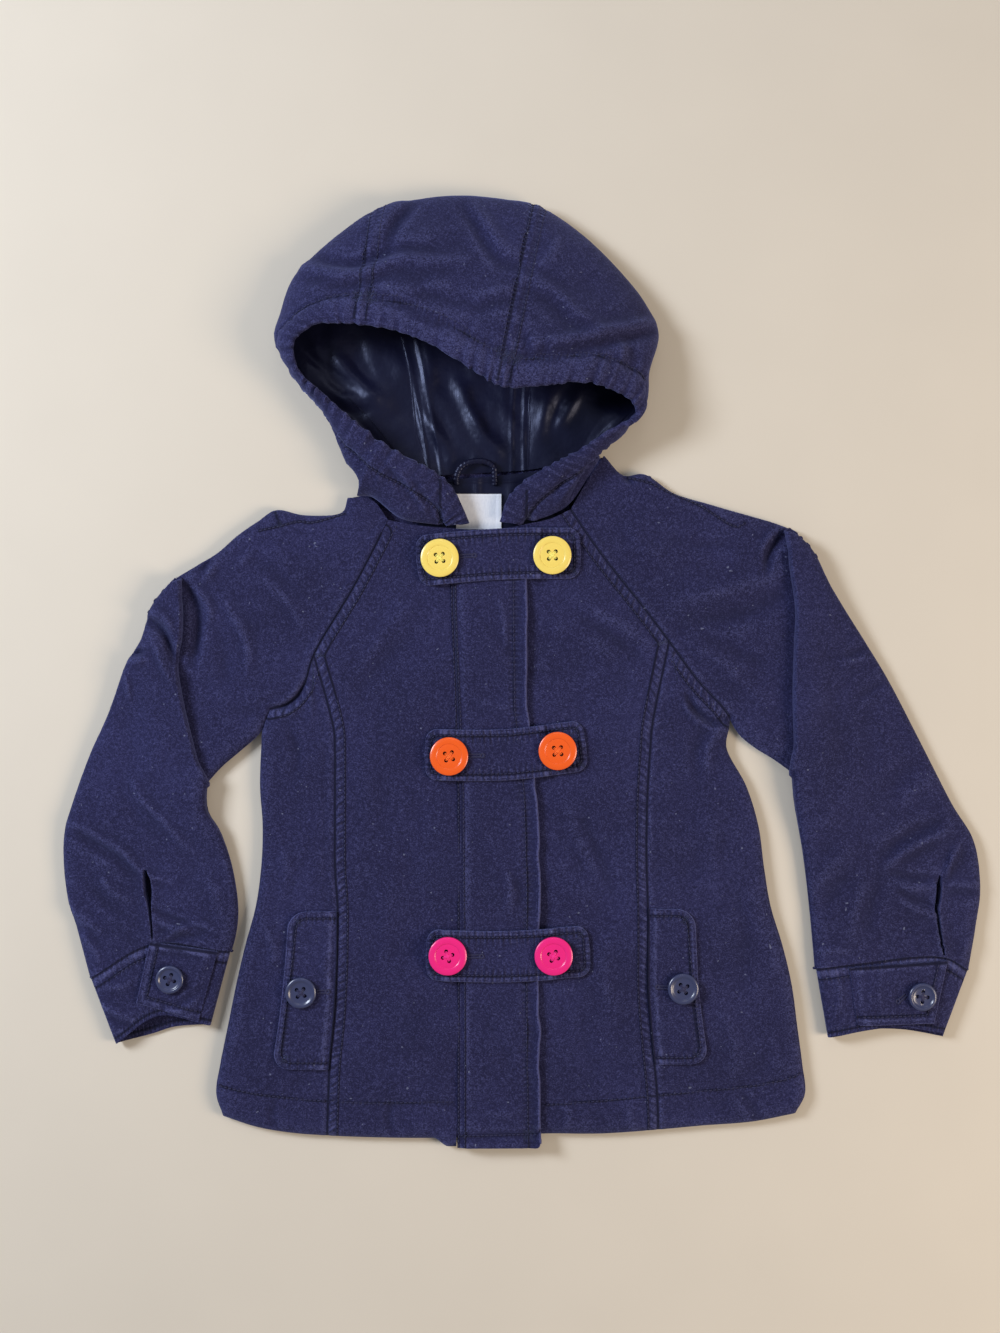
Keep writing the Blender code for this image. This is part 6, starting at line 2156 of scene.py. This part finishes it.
class COAT_OT_stage(bpy.types.Operator):
    """Make the floor, the lights and the camera"""

    bl_idname = "coat.stage"
    bl_label = "Stage"

    def execute(self, context):
        make_stage()
        return {"FINISHED"}


class COAT_OT_backs(bpy.types.Operator):
    """Make the back and the sleeve backs"""

    bl_idname = "coat.backs"
    bl_label = "Backs"

    def execute(self, context):
        make_backs(2.5 * sheet_step())
        return {"FINISHED"}


class COAT_OT_fronts(bpy.types.Operator):
    """Make the four front panels"""

    bl_idname = "coat.fronts"
    bl_label = "Fronts"

    def execute(self, context):
        make_fronts(sheet_step())
        return {"FINISHED"}


class COAT_OT_sleeves(bpy.types.Operator):
    """Make the sleeves' fronts above and below the elbows"""

    bl_idname = "coat.sleeves"
    bl_label = "Sleeves"

    def execute(self, context):
        make_uppers(sheet_step()) + make_forearms(sheet_step())
        return {"FINISHED"}


class COAT_OT_cuffs(bpy.types.Operator):
    """Make the cuffs and their buttoned ends"""

    bl_idname = "coat.cuffs"
    bl_label = "Cuffs"

    def execute(self, context):
        make_cuffs(sheet_step())
        return {"FINISHED"}


class COAT_OT_placket(bpy.types.Operator):
    """Make the buttoning edge"""

    bl_idname = "coat.placket"
    bl_label = "Placket"

    def execute(self, context):
        make_placket(sheet_step())
        return {"FINISHED"}


class COAT_OT_tabs(bpy.types.Operator):
    """Make the three button tabs"""

    bl_idname = "coat.tabs"
    bl_label = "Tabs"

    def execute(self, context):
        make_tabs(0.55 * sheet_step())
        return {"FINISHED"}


class COAT_OT_flaps(bpy.types.Operator):
    """Make the two pocket flaps"""

    bl_idname = "coat.flaps"
    bl_label = "Flaps"

    def execute(self, context):
        make_flaps(0.7 * sheet_step())
        return {"FINISHED"}


class COAT_OT_hood(bpy.types.Operator):
    """Make the hood, its lining and its stitching"""

    bl_idname = "coat.hood"
    bl_label = "Hood"

    def execute(self, context):
        made, lines = make_hood()
        sewn("hood_stitches", lines)
        return {"FINISHED"}


class COAT_OT_neck(bpy.types.Operator):
    """Make the lining of the neck, the label and the hanger loop"""

    bl_idname = "coat.neck"
    bl_label = "Neck"

    def execute(self, context):
        make_neck(0.75 * sheet_step())[:2]
        return {"FINISHED"}


class COAT_OT_buttons(bpy.types.Operator):
    """Make the ten buttons"""

    bl_idname = "coat.buttons"
    bl_label = "Buttons"

    def execute(self, context):
        make_buttons()
        return {"FINISHED"}


class COAT_OT_stitching(bpy.types.Operator):
    """Sew the rows of stitching and the buttonholes"""

    bl_idname = "coat.stitching"
    bl_label = "Stitching"

    def execute(self, context):
        make_stitching()
        return {"FINISHED"}


STEPS = (COAT_OT_stage, COAT_OT_backs, COAT_OT_fronts, COAT_OT_sleeves, COAT_OT_cuffs, COAT_OT_placket,
         COAT_OT_tabs, COAT_OT_flaps, COAT_OT_hood, COAT_OT_neck, COAT_OT_buttons, COAT_OT_stitching)


class COAT_PT_panel(bpy.types.Panel):
    """The coat's sizes, colours and pieces"""

    bl_label = "Hooded coat"
    bl_idname = "COAT_PT_panel"
    bl_space_type = "VIEW_3D"
    bl_region_type = "UI"
    bl_category = "Coat"

    def draw(self, context):
        for group in (context.scene.coat_sizes, context.scene.coat_colours):
            for name in group.__annotations__:
                self.layout.prop(group, name)
        for step in STEPS:
            self.layout.operator(step.bl_idname)


CLASSES = (CoatSizes, CoatColours, *STEPS, COAT_PT_panel)


def register():
    for each in CLASSES:
        bpy.utils.register_class(each)
    bpy.types.Scene.coat_sizes = bpy.props.PointerProperty(type=CoatSizes)
    bpy.types.Scene.coat_colours = bpy.props.PointerProperty(type=CoatColours)


def unregister():
    del bpy.types.Scene.coat_sizes, bpy.types.Scene.coat_colours
    for each in reversed(CLASSES):
        bpy.utils.unregister_class(each)


def main():
    register()
    for step in STEPS:
        made = getattr(bpy.ops.coat, step.bl_idname.split(".")[1])()
        if made != {"FINISHED"}:
            raise RuntimeError(f"{step.bl_label} was not finished")


if __name__ == "__main__":
    main()
